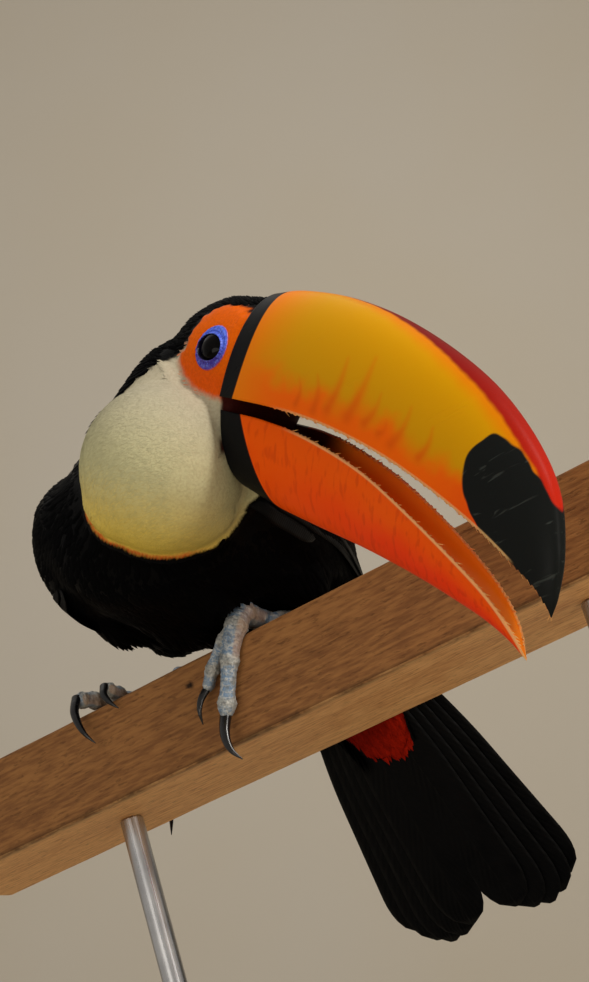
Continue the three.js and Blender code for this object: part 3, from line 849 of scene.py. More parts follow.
@functools.lru_cache(maxsize=1)
def skin_shape():
    """One skin for head, neck, trunk, tail base, thighs and wings: their surfaces joined on a net, the whole
    relaxed a little and the creases of body and bib much more, and all drawn in by the coat's depth."""
    head, head_faces = limb(HEAD_STATIONS, 60, 90, 0.26, 0.14)
    parts = [
        (from_head(head), head_faces),
        limb(TRUNK_STATIONS, 80, 110, 0.14, 0.22),
        limb(NECK_STATIONS, 40, 70, 0.2, 0.3, (-0.5, 0.3, 0.8)),
        limb(THROAT_STATIONS, 30, 60, 0.3, 0.4),
        *(ball(row[:3], row[3], 60, 90) for row in BIB_BALLS),
        limb(TAIL_COVERTS, 50, 60, 0.2, 0.25),
        *(limb(stations, 40, 60) for stations in THIGHS.values()),
        *(wing_core(hand) for hand in SIDES.values()),
    ]
    points, faces = joined_on_net(parts, SKIN_NET)
    edges = edges_of(faces)
    points = relaxed(points, edges, 14)
    reach = pale_reach(points)
    below = smooth(in_head(points)[:, 2], -24, -36)
    fuller = np.maximum(smooth(reach, 4, 12), 0.8 * below * smooth(reach, 0.3, 3))
    points = over(points, relaxed(points, edges, 70), fuller * smooth(points[:, 1], 62, 48))
    normals = relaxed(normals_of(points, faces), edges, 4)
    points = points - unit(normals) * coat_depth(points)[:, None]
    return relaxed(points, edges, 2), faces


def build_skin(colours):
    """The skin with its markings, in place of the solids of head, neck, trunk, tail base and thighs."""
    points, faces = skin_shape()
    made = mesh_object("skin", points, faces, skin_material())
    paint(made, markings=markings(points, colours))
    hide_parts("head", "neck", "trunk", "tail_base", "thigh_left", "thigh_right")
    return made


def joined_on_net(parts, size):
    """Overlapping closed shapes as one surface, by a voxel remesh of that size in millimetres."""
    points, faces = joined(parts)
    rough = mesh_object("joining", points, faces, None, body=None)
    net = rough.modifiers.new("Join", "REMESH")
    net.mode, net.voxel_size = "VOXEL", size * MM
    done = bpy.data.meshes.new_from_object(rough.evaluated_get(bpy.context.evaluated_depsgraph_get()))
    count = len(done.vertices)
    made = np.empty(count * 3, np.float32)
    done.vertices.foreach_get("co", made)
    made = (made.reshape(-1, 3).astype(float) - PERCH_ORIGIN) / MM
    corners = np.empty(len(done.loops), np.int32)
    done.loops.foreach_get("vertex_index", corners)
    quads = corners.reshape(-1, 4)
    for mesh in (rough.data, done):
        bpy.data.meshes.remove(mesh)
    return made, outward(made, [quads])


# ---------------------------------------------------------------- bill

# Flame marks on the upper half's side: forward and up of their lower and upper ends, and half-width
FLAMES = [
    (52, 8, 49, 20, 1.6),
    (59, 10, 60.5, 29, 1.9),
    (70, 10, 73, 32, 2.1),
    (79, 10, 82.5, 21, 1.6),
    (87, 8, 89, 13, 1.3),
    (94, 6, 98, 20, 1.7),
    (108, 5, 110, 16, 1.5),
    (42, 8, 40, 17, 1.2),
]


def serration(length, pitch, tall):
    """Forward-leaning teeth: in each pitch the height climbs as a power of the way, then drops."""
    way = length / pitch
    share = way - np.floor(way)
    ragged = 0.65 + 0.35 * np.sin(np.floor(way) * 2.4)
    return tall * ragged * share**1.6 * smooth(1 - share, 0, 0.18)


def lowered(points):
    """Points of the bill's lower half turned down about its hinge by as much as the mouth is open."""
    at = points - JAW_HINGE
    cosine, sine = math.cos(MOUTH_OPENING), math.sin(MOUTH_OPENING)
    forward, up = at[..., 0] * cosine + at[..., 2] * sine, at[..., 2] * cosine - at[..., 0] * sine
    return JAW_HINGE + np.stack([forward, at[..., 1], up], -1)


def bill_half(stations, rows, arch, hollow, open_jaw):
    """Half of the bill. Across, the outer wall runs from edge over the ridge to edge as edge + (ridge -
    edge) * sin^n with a width of cos^n, n being the bill's fullness, and the inner side returns below it;
    the edges carry fine teeth. Also gives fields: each point's place along, its rise, whether it is inside,
    how far it drops from the ridge, its distance from the edge, and the length run."""
    place = np.linspace(0, 1, rows + 1)[:-1]
    place = np.where(place > 0.9, 0.9 + 0.1 * np.sin((place - 0.9) / 0.1 * np.pi / 2), place)[:, None]
    values = through(stations, place[:, 0])
    ridge = np.stack([values[:, 0], 0 * values[:, 0], values[:, 1]], 1)[:, None]
    edge = np.stack([values[:, 2], 0 * values[:, 0], values[:, 3]], 1)[:, None]
    wide = values[:, 4:5]
    angle = np.linspace(0, 1, arch + 1)[None] * np.pi
    # more rows of points near the edges, where the teeth are
    angle = angle - 0.25 * np.sin(2 * angle)
    cosine = np.cos(angle)
    rise = np.clip(np.sin(angle), 0, 1) ** BILL_FULLNESS
    across = np.sign(cosine) * np.abs(cosine) ** BILL_FULLNESS
    outer = edge + (ridge - edge) * rise[..., None] + (wide * across)[..., None] * [0, 1, 0]
    inner_count = arch // 2
    turn = np.pi * (1 - np.arange(1, inner_count) / inner_count)[None]
    depth = hollow * np.sin(np.pi * np.minimum(1, place + 0.12)) ** 0.5
    wall = np.clip(1.3 / np.maximum(wide, 0.8), 0.03, 0.45)
    inner_rise = depth * np.sin(turn) ** 0.8
    inner_across = np.cos(turn) * (1 - wall)
    inner = edge + (ridge - edge) * inner_rise[..., None] + (wide * inner_across)[..., None] * [0, 1, 0]
    length = np.concatenate([[0], np.cumsum(size_of(np.diff(edge[:, 0], axis=0)))])[:, None]
    toward = unit(edge - ridge)
    near = (1 - smooth(rise, 0.0, 0.035)) * smooth(place, 0.14, 0.2) * (1 - smooth(place, 0.9, 0.97))
    teeth = serration(length, 2.3, 1.0) * near
    outer = outer + toward * teeth[..., None]
    grid = np.concatenate([outer, inner], 1)
    fields = {
        "place": place + 0 * grid[..., 0],
        "rise": np.concatenate([np.broadcast_to(rise, outer.shape[:2]), inner_rise], 1),
        "inside": np.concatenate([0 * outer[..., 0], 1 + 0 * inner[..., 0]], 1),
        "drop": size_of(grid - ridge),
        "edge": size_of((grid - edge) * [1, 0, 1]),
        "length": length + 0 * grid[..., 0],
    }
    tip = stations[-1]
    points, faces = capped(grid, end=np.array([tip[0], 0, tip[1]], float))
    for name, value in fields.items():
        fields[name] = np.concatenate([value.ravel(), [value[0].mean(), value[-1].mean()]])
    if open_jaw:
        points = lowered(points)
    return points, faces, fields


def flames(flat):
    """Soft upright marks that fade upwards: the strongest of exp(-(distance / half-width)^2)."""
    total = np.zeros(len(flat))
    for low_x, low_z, high_x, high_z, half in FLAMES:
        start, along = np.array([low_x, low_z]), np.array([high_x - low_x, high_z - low_z], float)
        share = np.clip((flat - start) @ along / (along @ along), 0, 1)
        bow = np.array([1.0, 0]) * (1.6 * np.sin(np.pi * share))[:, None]
        away = size_of(flat - start - share[:, None] * along - bow)
        width = half * (1.35 - 0.95 * share)
        total = np.maximum(total, np.exp(-((away / width) ** 2)) * (1 - 0.65 * share))
    return total


def paint_bill(made, fields, band):
    """Base band, fields and side map, which both halves' horn needs on its mesh."""
    paint(made, band=band, rim=fields["edge"], **{name: fields[name] for name in ("place", "rise", "inside")})
    lay_uv(made, "Side", np.stack([fields["length"] / 200, fields["rise"]], 1))


def build_bill_upper(colours):
    """The bill's upper half, with its bands, tip patch and flame marks as distances in its mesh."""
    points, faces, fields = bill_half(UPPER_BILL, 300, 150, 0.1, False)
    flat = points[:, [0, 2]]
    forward, up = flat.T
    band = 6.6 - 0.0032 * (up - 14) ** 2 - forward
    rear = 127.8 + 0.04 * (up - 8) ** 2
    roof = 22 - 0.0132 * (forward - 128) ** 2
    wander = ripple(from_head(points), 9, 3)
    ends = np.stack([forward - rear, roof - up], 1) + 0.5 * wander[:, None]
    patch = -np.log(np.exp(-ends / 1.4).sum(1)) * 1.4
    patch = np.where(forward > 166, np.maximum(patch, forward - 165.5), patch)
    culmen = 0.6 + 5.4 * smooth(forward, 26, 118) - 1.5 * smooth(forward, 140, 165) - fields["drop"]
    finish = bill_material("upper", colours)
    made = mesh_object("bill_upper_horn", from_head(points), faces, finish)
    paint_bill(made, fields, band)
    paint(made, patch=patch, culmen=culmen + 0.3 * wander, flames=flames(flat))
    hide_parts("bill_upper")
    return made


def build_bill_lower(colours):
    """The bill's lower half, turned down about its hinge, hollow inside."""
    points, faces, fields = bill_half(LOWER_BILL, 300, 110, 0.3, True)
    finish = bill_material("lower", colours)
    made = mesh_object("bill_lower_horn", from_head(points), faces, finish)
    paint_bill(made, fields, 5.6 - 0.68 * points[:, 2] - points[:, 0])
    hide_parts("bill_lower")
    return made


# Rows of teeth: the half of the bill, whether it is lowered, how many on each side, and their half-thickness
TEETH = [(LOWER_BILL, True, 42, 0.62), (UPPER_BILL, False, 64, 0.3)]


def build_teeth(sizes):
    """Pale teeth of the bill's edges: small bent cones of six-sided rings that lean forward."""
    shapes = []
    rng = np.random.default_rng(SEED + 5)
    share = np.linspace(0, 1, 6)
    angle = np.arange(6)[:, None] / 6 * 2 * np.pi
    for stations, open_jaw, count, thick in TEETH:
        for hand in (-1, 1):
            place = np.linspace(0.2, 0.93, count) + rng.normal(0, 0.003, count)
            values, ahead = through(stations, place), through(stations, place + 0.01)
            edge = np.stack([values[:, 2], hand * (values[:, 4] - 0.7), values[:, 3]], 1)
            along = unit(np.stack([ahead[:, 2], hand * (ahead[:, 4] - 0.7), ahead[:, 3]], 1) - edge)
            out = unit(np.stack([values[:, 2] - values[:, 0], 0 * place, values[:, 3] - values[:, 1]], 1))
            size = sizes.tooth / MM * rng.uniform(0.75, 1.3, count)
            size = size * (0.75 + 0.6 * (np.arange(count) % 3 == 0))
            reach = size[:, None, None] * share[:, None]
            line = edge[:, None] + along[:, None] * 1.1 * reach + out[:, None] * (0.62 * reach**0.9 - 0.45)
            half = thick * (1 - 0.93 * share**1.4)
            ring = np.cos(angle) * [0, 0.75, 0] + np.sin(angle) * along[:, None, None]
            grid = line[:, :, None] + half[:, None, None] * ring
            shapes += [capped(tooth) for tooth in from_head(lowered(grid) if open_jaw else grid)]
    points, faces = joined(shapes)
    return mesh_object("bill_teeth", points, faces, tooth_material())


# ---------------------------------------------------------------- eyes


def build_eye(hand_name):
    """An eyeball: a ball whose front swells a little further as a wet dome."""
    hand = SIDES[hand_name]
    turn = np.linspace(0, np.pi, 50)[1:-1, None]
    angle = np.arange(64) / 64 * 2 * np.pi
    swell = 1 + 0.07 * np.exp(-((turn / 0.55) ** 2))
    ring = np.sin(turn) * EYE_RADIUS * swell
    out = np.cos(turn) * EYE_RADIUS * swell
    grid = np.stack([ring * np.cos(angle), hand * (out + 0 * angle), ring * np.sin(angle)], -1)
    poles = np.array([[0, hand * 1.07, 0], [0, -hand, 0]]) * EYE_RADIUS
    centre = EYE_CENTRE * [1, hand, 1]
    points, faces = capped(from_head(grid + centre), *from_head(poles + centre))
    made = mesh_object(f"eyeball_{hand_name}", points, faces, eye_material())
    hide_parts(f"eye_{hand_name}")
    return made


def head_side(forward, up):
    """Half-width of the head at a place on its side, from the ellipse of its section there."""
    values = through([[row[0], row[3], row[2], row[4]] for row in HEAD_STATIONS], np.linspace(0, 1, 60))
    wide, middle, tall = (np.interp(forward, values[:, 0], values[:, k]) for k in (1, 2, 3))
    return wide * np.sqrt(np.clip(1 - ((up - middle) / tall) ** 2, 0, 1))


def build_lids(hand_name, colours):
    """Bare blue skin round the eye: a ring that swells into a rounded lid at the eyeball and dips under the
    face skin at its outer edge, with fine folds that run outwards."""
    hand = SIDES[hand_name]
    share = np.linspace(0, 1, 44)[:, None]
    angle = np.arange(160)[None] / 160 * 2 * np.pi
    radius = LID_INNER + (LID_OUTER - LID_INNER) * share[..., None]
    forward = EYE_CENTRE[0] + 0.8 - 0.2 * share + radius[..., 0] * np.cos(angle)
    up = EYE_CENTRE[2] + 0.4 + 0.1 * share + radius[..., 1] * np.sin(angle)
    base = head_side(forward, up)
    lid = 1.25 * np.exp(-(((share - 0.1) / 0.13) ** 2)) + 0.5 * np.exp(-(((share - 0.5) / 0.25) ** 2))
    folds = 0.13 * np.sin(angle * 23 + 3 * np.sin(3 * angle)) * np.sin(np.pi * share) ** 0.8
    folds = folds + 0.1 * np.sin(share * 20 + 1.5 * np.sin(2 * angle)) * smooth(share, 0.1, 0.4)
    height = base - 0.1 + lid + folds - 1.0 * smooth(share, 0.8, 1.0)
    height = np.where(share < 0.04, height - 0.8 * (1 - share / 0.04), height)
    front = np.stack([forward, hand * height, up], -1)
    back = np.stack([forward, hand * (height - 1.6), up], -1)[::-1]
    grid = from_head(np.concatenate([front, back]))
    points = grid.reshape(-1, 3)
    # a row of faces more than there are rows of points closes the back on to the front
    faces = outward(points, [grid_faces(len(grid) + 1, 160) % len(points)])
    made = mesh_object(f"eyelid_ring_{hand_name}", points, faces, lid_material(colours))
    ring, angle = np.broadcast_arrays(np.concatenate([share, share[::-1]]), angle)
    paint(made, ring=ring.ravel(), turn=np.sin(angle).ravel(), around=angle.ravel() / (2 * np.pi))
    return made


# ---------------------------------------------------------------- feet and claws


def foot_bones(hand_name):
    """The shank and toes of one foot as rows of middle line and radius, with the places of their joints."""
    shank = np.array(TARSI[hand_name], float)
    toes = [(np.column_stack([line, radii]), joints) for line, radii, joints, _ in TOES[hand_name]]
    return [(shank[:, :4], ()), *toes]


def foot_lines(hand_name):
    """The middle lines of one foot's bones with radii, the distance run along each, their directions, the
    number of the bone, and how near a joint they are."""
    rows = []
    for digit, (table, joints) in enumerate(foot_bones(hand_name)):
        place = np.linspace(0, 1, 80)
        values = through(table, place)
        step = size_of(np.diff(values[:, :3], axis=0))
        run = np.concatenate([[0], np.cumsum(step)])
        along = unit(np.gradient(values[:, :3], axis=0))
        near = np.zeros(80)
        for joint in joints:
            near = np.maximum(near, np.exp(-(((place - joint) * run[-1] / 2.2) ** 2)))
        rows.append(np.column_stack([values, run, along, np.full(80, digit), near]))
    return np.vstack(rows)


def build_foot(hand_name, colours, sizes):
    """A foot: shank and four toes joined on a fine net, swollen by 0.7 mm at the joints, then scutes across
    the front and top, each a low step that rises over its length, a crust that is thickest at the joints,
    small pebbles below and at the sides, and wrinkles."""
    knuckle = TARSI[hand_name][-1]
    parts = [limb(TARSI[hand_name], 40, 40, 0.08, 0.12), ball(np.array(knuckle[:3], float), 5.2)]
    for table, _ in foot_bones(hand_name)[1:]:
        parts.append(limb(np.column_stack([table, table[:, 3] * 0.92]), 60, 36, 0.1, 0.1, (0.9, -0.3, 0.3)))
    points, faces = joined_on_net(parts, FOOT_NET)
    edges = edges_of(faces)
    points = relaxed(points, edges, 5)
    normals = normals_of(points, faces)
    lines = foot_lines(hand_name)
    owner = np.zeros(len(points), int)
    for start in range(0, len(points), BATCH):
        some = slice(start, start + BATCH)
        gap = size_of(points[some, None] - lines[None, :, :3]) - 0.8 * lines[:, 3]
        owner[some] = gap.argmin(1)
    chosen = lines[owner]
    knob = relaxed(chosen[:, 9:], edges, 3)[:, 0]
    run = chosen[:, 4] + ((points - chosen[:, :3]) * chosen[:, 5:8]).sum(1)
    pitch = np.where(chosen[:, 8] == 0, *SCUTE_PITCH)
    way = run / pitch + 0.22 * ripple(points, 6, 6)
    share = way - np.floor(way)
    plated = smooth(-(normals @ SHANK_BACKS[hand_name]), -0.35, 0.15)
    step = sizes.scute / MM * (share**0.7) * smooth(1 - share, 0, 0.16) * plated * (1 - 0.6 * knob)
    crust = 0.3 * ripple(points, 1.9, 12) * (0.4 + 0.6 * knob)
    pebble = 0.12 * ripple(points, 1.7, 7) * (1 - plated)
    wrinkle = 0.07 * ripple(points, 1.3, 8)
    points = points + normals * (0.7 * knob + step + crust + pebble + wrinkle + 0.2)[:, None]
    made = mesh_object(f"foot_{hand_name}", on_perch(points), faces, foot_material(colours))
    pad = smooth(normals @ [0.95, -0.1, -0.25], 0.5, 0.95) * smooth(points[:, 2], -16, -4)
    paint(made, scute=share, plated=plated, knob=knob, pad=pad)
    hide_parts(f"tarsus_{hand_name}", *(f"toe_{hand_name}_{n}" for n in (1, 2, 3, 4)))
    return made


def build_claws(hand_name, colours):
    """Four claws: smooth horns whose radius falls from the root to a sharp point as 1 - share^1.8."""
    shapes, along = [], []
    for _, radii, _, horn in TOES[hand_name]:
        root = np.array(horn[0], float)
        inner = root - 2.0 * unit(np.array(horn[1], float) - root)
        line = np.vstack([inner, through(horn, np.linspace(0, 1, 9))])
        share = np.linspace(0, 1, len(line))
        radius = radii[-1] * 0.76 * (1 - share**1.8) + 0.16
        stations = np.column_stack([line, radius * 0.8, radius, radius])
        shapes.append(limb(stations, 70, 28, 0.03, 0.02, (1, 0, 0.05)))
        along.append(np.concatenate([np.repeat(np.linspace(0, 1, 70), 28), [0, 1]]))
    points, faces = joined(shapes)
    made = mesh_object(f"claws_{hand_name}", on_perch(points), faces, claw_material(colours))
    paint(made, along=np.concatenate(along))
    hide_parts(*(f"claw_{hand_name}_{n}" for n in (1, 2, 3, 4)))
    return made


# ---------------------------------------------------------------- perch and stand

# Corners of a rectangle in turn, from its middle
CORNERS = np.array([[1, 1], [-1, 1], [-1, -1], [1, -1]])
# A small dark knot on the timber's front
KNOT = np.array([-24.8, 0.0, -9.2])


def build_timber(colours):
    """The timber: a squared section with eased arrises, carried along its length, worn a little out of true,
    with flat sawn ends whose edges draw in a little."""
    rows, ease = 220, 1.4
    corner = np.linspace(0, np.pi / 2, 7)
    half = np.array([PERCH_DEPTH / 2, PERCH_HEIGHT / 2])
    outline = []
    for turn in range(4):
        middle = CORNERS[turn] * (half - ease)
        angle = corner + turn * np.pi / 2
        outline.append(middle + ease * np.stack([np.cos(angle), np.sin(angle)], 1))
        following = CORNERS[turn - 3] * (half - ease)
        away = np.stack([np.cos(angle[-1:]), np.sin(angle[-1:])], 1) * ease
        share = np.linspace(0, 1, 42)[1:-1, None]
        outline.append(middle + away + (following - middle) * share)
    section = np.vstack(outline)
    along = np.linspace(PERCH_RIGHT, PERCH_LEFT, rows)
    ends = np.minimum(along - PERCH_RIGHT, PERCH_LEFT - along)
    scale = 1 - 0.018 * (1 - smooth(ends, 0, 0.9))
    flat = section[None] * scale[:, None, None]
    along = np.broadcast_to(along[:, None], flat.shape[:2])
    middle = np.array([0, PERCH_DEPTH / 2, -PERCH_HEIGHT / 2])
    grid = np.stack([along, middle[1] + flat[..., 0], middle[2] + flat[..., 1]], -1)
    points = grid.reshape(-1, 3)
    outwards = unit(points * [0, 1, 1] - middle)
    wear = 0.12 + 0.1 * ripple(points * [0.35, 1, 1], 22, 9) + 0.04 * ripple(points * [0.2, 1, 1], 6, 10)
    points, faces = capped((points - outwards * wear[:, None]).reshape(grid.shape))
    made = mesh_object("perch_timber", on_perch(points), faces, timber_material(colours))
    # painted light: the underside gets a paler colour, standing in for light bounced up on to it from below
    under = smooth(-points[:, 2], PERCH_HEIGHT - 1.2, PERCH_HEIGHT - 0.2)
    # painted shadow along the lower front arris: dark at that corner, fading over 1.6 mm up the front and 3.4
    # mm along the underside
    edge = size_of(points[:, 1:] - [0, -PERCH_HEIGHT])
    knot = size_of((points - KNOT) / [2.4, 3.0, 1.9])
    arris_shadow = np.exp(-((edge / np.where(points[:, 1] < 0.4, 1.6, 3.4)) ** 2))
    paint(made, side=under, arris=arris_shadow, knot=1 - smooth(knot, 0.5, 1.0))
    split_edges(made, 50)
    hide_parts("perch_beam")
    return made


def turned(profile, axis_x, axis_y, sides=72):
    """A profile of radius and height turned about an upright axis, closed at both ends."""
    radius, height = np.array(profile, float).T
    angle = np.arange(sides) / sides * 2 * np.pi
    x, y = axis_x + radius[:, None] * np.cos(angle), axis_y + radius[:, None] * np.sin(angle)
    return capped(np.stack([x, y, height[:, None] + 0 * angle], -1))


def build_rod(number, colours, sizes):
    """A steel rod with chamfered ends and a low collar at its foot."""
    low, high = solid_box(f"stand_rod_{number}")
    radius = (high[0] - low[0]) / 2
    x, y = (low[:2] + high[:2]) / 2
    foot, top = low[2], high[2]
    collar = sizes.collar / MM
    profile = [
        (radius + collar - 0.6, foot - 0.2),
        (radius + collar, foot + 0.4),
        (radius + collar, foot + 2.2),
        (radius + collar - 0.8, foot + 3.0),
        (radius + 0.4, foot + 3.3),
        (radius, foot + 3.8),
        *((radius, foot + 3.8 + (top - foot - 4.3) * share) for share in np.linspace(0.02, 1, 40)),
        (radius - 0.6, top + 0.25),
    ]
    points, faces = turned(profile, x, y)
    made = mesh_object(f"stand_rod_steel_{number}", points, faces, rod_material(colours))
    split_edges(made, 35)
    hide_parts(f"stand_rod_{number}")
    return made


def build_plate(colours, sizes):
    """The stand's plate: a rounded rectangle carried up through a quarter-round edge at top and bottom."""
    corner, bevel = sizes.plate_corner / MM, sizes.plate_edge / MM
    low, high = solid_box("stand_base")
    half, middle = (high - low)[:2] / 2, (high + low)[:2] / 2
    turn = np.linspace(0, np.pi / 2, 8)
    inset = np.concatenate([bevel * (1 - np.sin(turn)), bevel * (1 - np.cos(turn))])
    height = np.concatenate([low[2] + bevel * (1 - np.cos(turn)), high[2] - bevel * (1 - np.sin(turn))])
    angle = (np.arange(32)[None] / 31 * np.pi / 2) + np.arange(4)[:, None] * np.pi / 2
    circle = np.stack([np.cos(angle), np.sin(angle)], -1)
    grid = CORNERS[:, None] * (half - corner) + circle * (corner - inset[:, None, None, None])
    grid = (middle + grid).reshape(len(inset), -1, 2)
    grid = np.concatenate([grid, np.broadcast_to(height[:, None, None], (*grid.shape[:2], 1))], -1)
    points, faces = capped(grid)
    made = mesh_object("stand_plate", points, faces, plate_material(colours))
    split_edges(made, 35)
    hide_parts("stand_base")
    return made


# ---------------------------------------------------------------- feathers


def quills(centres, normals, halves, thickness, camber, columns):
    """Large feathers as closed vanes. Along each middle line lies a section whose top is camber * (1 - v^2)
    with a raised shaft at v = 0, and whose underside lies lower by a thickness that thins to both edges."""
    count, rings = centres.shape[:2]
    along = unit(np.gradient(centres, axis=1))
    side = unit(np.cross(normals, along))
    up = np.cross(along, side)
    v = np.linspace(-1, 1, columns)
    shaft = 0.35 * np.exp(-((v / 0.12) ** 2))
    taper = np.linspace(1, 0.3, rings)[None, :, None]
    top = camber[:, None, None] * (1 - v**2) * taper + shaft * taper
    low = top - thickness * (0.35 + 0.65 * (1 - v**2))
    out = halves[..., None] * v
    upper = centres[:, :, None] + side[:, :, None] * out[..., None] + up[:, :, None] * top[..., None]
    lower = centres[:, :, None] + side[:, :, None] * out[..., None] + up[:, :, None] * low[..., None]
    grid = np.concatenate([upper, lower[:, :, ::-1]], 2)
    ring = grid.shape[2]
    points = np.concatenate([grid.reshape(count, -1, 3), grid[:, :1].mean(2), grid[:, -1:].mean(2)], 1)
    _, faces = capped(grid[0])
    size = points.shape[1]
    shift = (np.arange(count) * size)[:, None, None]
    faces = [(part[None] + shift).reshape(-1, part.shape[1]) for part in faces]
    along_uv = np.broadcast_to(np.linspace(0, 1, rings)[:, None], (rings, ring))
    across_uv = np.broadcast_to(0.5 + 0.5 * np.concatenate([v, v[::-1]]), (rings, ring))
    vane = np.stack([across_uv, along_uv], -1).reshape(-1, 2)
    vane = np.vstack([vane, [[0.5, 0], [0.5, 1]]])
    return points.reshape(-1, 3), faces, np.tile(vane, (count, 1)), size


def finish_quills(name, points, faces, vane, bake, colours):
    """A piece of black long feathers with its vane and bake maps."""
    made = mesh_object(name, points, faces, feather_material())
    lay_uv(made, "OFBake", bake)
    lay_uv(made, "Vane", vane)
    paint(made, markings=np.broadcast_to(np.array(colours.black), points.shape))
    return made


def build_tail(hand_name, colours):
    """Five long feathers of one side of the tail, fanned from the root, the middle one on top."""
    hand = SIDES[hand_name]
    along = unit(TAIL_END - TAIL_ROOT)
    reach = size_of(TAIL_END - TAIL_ROOT)
    side = unit(np.array([hand, 0, 0]) - along * along[0] * hand)
    back = np.cross(along, side) * hand
    order = np.arange(5)
    place = np.linspace(0, 1, 40)[None]
    root_out, end_out = (3.0 + 2.4 * order)[:, None], (12.0 + 6.6 * order)[:, None]
    length = np.array([0.965, 0.99, 1.0, 0.985, 0.95])[:, None]
    run = place * length
    out = root_out + (end_out - root_out) * run
    lift = (1.5 - 0.62 * order)[:, None] - TAIL_BOW * (out / TAIL_END_HALF) ** 2
    centres = TAIL_ROOT + along * (run * reach)[..., None] + side * out[..., None] + back * lift[..., None]
    halves = (6.0 + 5.6 * smooth(place, 0, 0.55)) * np.sqrt(1 - np.clip((place - 0.86) / 0.141, 0, 1) ** 2.4)
    halves = np.broadcast_to(halves, run.shape)
    normals = np.broadcast_to(back, centres.shape)
    points, faces, vane, size = quills(centres, normals, halves, 0.55, np.full(5, 0.5), 13)
    bake = vane * [0.17, 0.96] + np.repeat(np.stack([0.02 + 0.19 * order, 0 * order + 0.02], 1), size, 0)
    made = finish_quills(f"tail_quills_{hand_name}", points, faces, vane, bake, colours)
    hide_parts(f"tail_feathers_{hand_name}")
    return made


# Rows of a folded wing's long feathers: name, count, then for the first and the last of the row the place of
# root and tip, the share across the wing of root and tip, the half-width, and how high it lies
WING_ROWS = {
    "primaries": (9, (0.34, 0.80, 0.34, 0.42, 4.6, 0.5), (0.34, 1.0, 0.10, 0.50, 4.8, 1.2)),
    "secondaries": (10, (0.26, 0.72, 0.16, 0.22, 5.0, 2.0), (0.30, 0.80, 0.80, 0.74, 6.4, 4.4)),
    "tertials": (4, (0.26, 0.80, 0.74, 0.62, 7.4, 5.0), (0.24, 0.70, 0.92, 0.88, 8.0, 6.4)),
    "coverts": (12, (0.18, 0.44, 0.08, 0.12, 5.2, 2.6), (0.18, 0.50, 0.92, 0.88, 6.6, 5.6)),
}


def build_wing(hand_name, colours):
    """The long feathers of a folded wing: rows that lie one over the next on the wing's surface, each
    feather's middle line running between two places of that surface."""
    hand = SIDES[hand_name]
    shapes, vanes, bakes = [], [], []
    for number, (count, first, last) in enumerate(WING_ROWS.values()):
        share = np.linspace(0, 1, count)[:, None]
        start, end, part_start, part_end, half, height = (
            a + (b - a) * share for a, b in zip(np.array(first), np.array(last))
        )
        run = np.linspace(0, 1, 16)[None]
        place = start + (end - start) * run
        part = part_start + (part_end - part_start) * run
        swell = through(WING_BANDS, place)[..., 2] / 11
        rise = height * swell * (1 - 0.55 * run) + 0.5 + 0.35 * (np.arange(count)[:, None] % 2)
        rise = rise - (2.5 + height * swell) * smooth(run, 0.16, 0)
        centres = wing_point(hand, place, part, rise + 1.2)
        above = wing_point(hand, place, part, rise + 2.2)
        tip = np.sqrt(1 - np.clip((run - 0.7) / 0.305, 0, 1) ** 2.2)
        halves = half * (0.55 + 0.45 * smooth(run, 0, 0.35)) * tip
        up = unit(above - centres)
        points, faces, vane, size = quills(centres, up, halves, 0.5, np.full(count, 0.8), 9)
        shapes.append((points, faces))
        vanes.append(vane)
        corner = np.stack([np.full(count, 0.02 + 0.24 * number), 0.02 + 0.96 * np.arange(count) / count], 1)
        bakes.append(vane * [0.2, 0.9 / count] + np.repeat(corner, size, 0))
    points, faces = joined(shapes)
    vane, bake = np.vstack(vanes), np.vstack(bakes)
    made = finish_quills(f"wing_quills_{hand_name}", points, faces, vane, bake, colours)
    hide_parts(f"wing_{hand_name}")
    return made


# Patches of the coat, with the spacing of their roots
PATCHES = {
    "crown": 1.35,
    "neck": 2.0,
    "back": 2.4,
    "breast": 2.25,
    "cheek": 0.92,
    "bib_left": 0.95,
    "bib_right": 0.95,
    "rump": 1.9,
    "vent": 1.7,
}
PALE_PATCHES = ("cheek", "bib_left", "bib_right")
BLACK_PATCHES = ("crown", "neck", "back", "breast")


@functools.lru_cache(maxsize=1)
def skin_fields():
    """The skin, its normals, and what tells the coat's patches apart at each triangle's middle."""
    points, faces = skin_shape()
    normals = relaxed(normals_of(points, faces), edges_of(faces), 16)
    corners = np.vstack([part[:, [0, k, k + 1]] for part in faces for k in range(1, part.shape[1] - 1)])
    pale, face, _, vent, rump = zones(points)
    from_crown = size_of(points - from_head([-20, 0, 8]))
    fields = np.column_stack([points, in_head(points), pale, face, vent, rump, from_crown])
    return points, unit(normals), corners, fields[corners].mean(1)


def patch_of(fields):
    """The name of the coat's patch at each triangle, or nothing where it is bare."""
    _, y, z, forward, side, up, pale, face, vent, rump, far = fields.T
    names = np.where(y < -14, "breast", "back").astype(object)
    names[(z > 56) & (y > -50)] = "back"
    names[far < 84] = "neck"
    names[(far < 58) | (up > -12) & (forward > -52) & (far < 66)] = "crown"
    light = pale > 0.5
    names[light] = np.where((forward > -44) & (up > -30), "cheek", "bib_left")[light]
    right = (fields[:, :3] - BIB_BALLS[0, :3]) @ HEAD_AXES[1] < 0
    names[(names == "bib_left") & right] = "bib_right"
    names[vent > 0.5] = "vent"
    names[rump > 0.5] = "rump"
    bare = (face > 0.5) | (y > np.where(vent > 0.5, 100, 90))
    bare |= (forward > 0.5) & (np.abs(up + 6) < 14) & (np.abs(side) < 19.5)
    bare |= (forward > -6) & (np.abs(up + 2) < 5.5)
    bare |= light & ((forward > 4.5) | (forward > -6) & (up > 22))
    names[bare] = ""
    return names


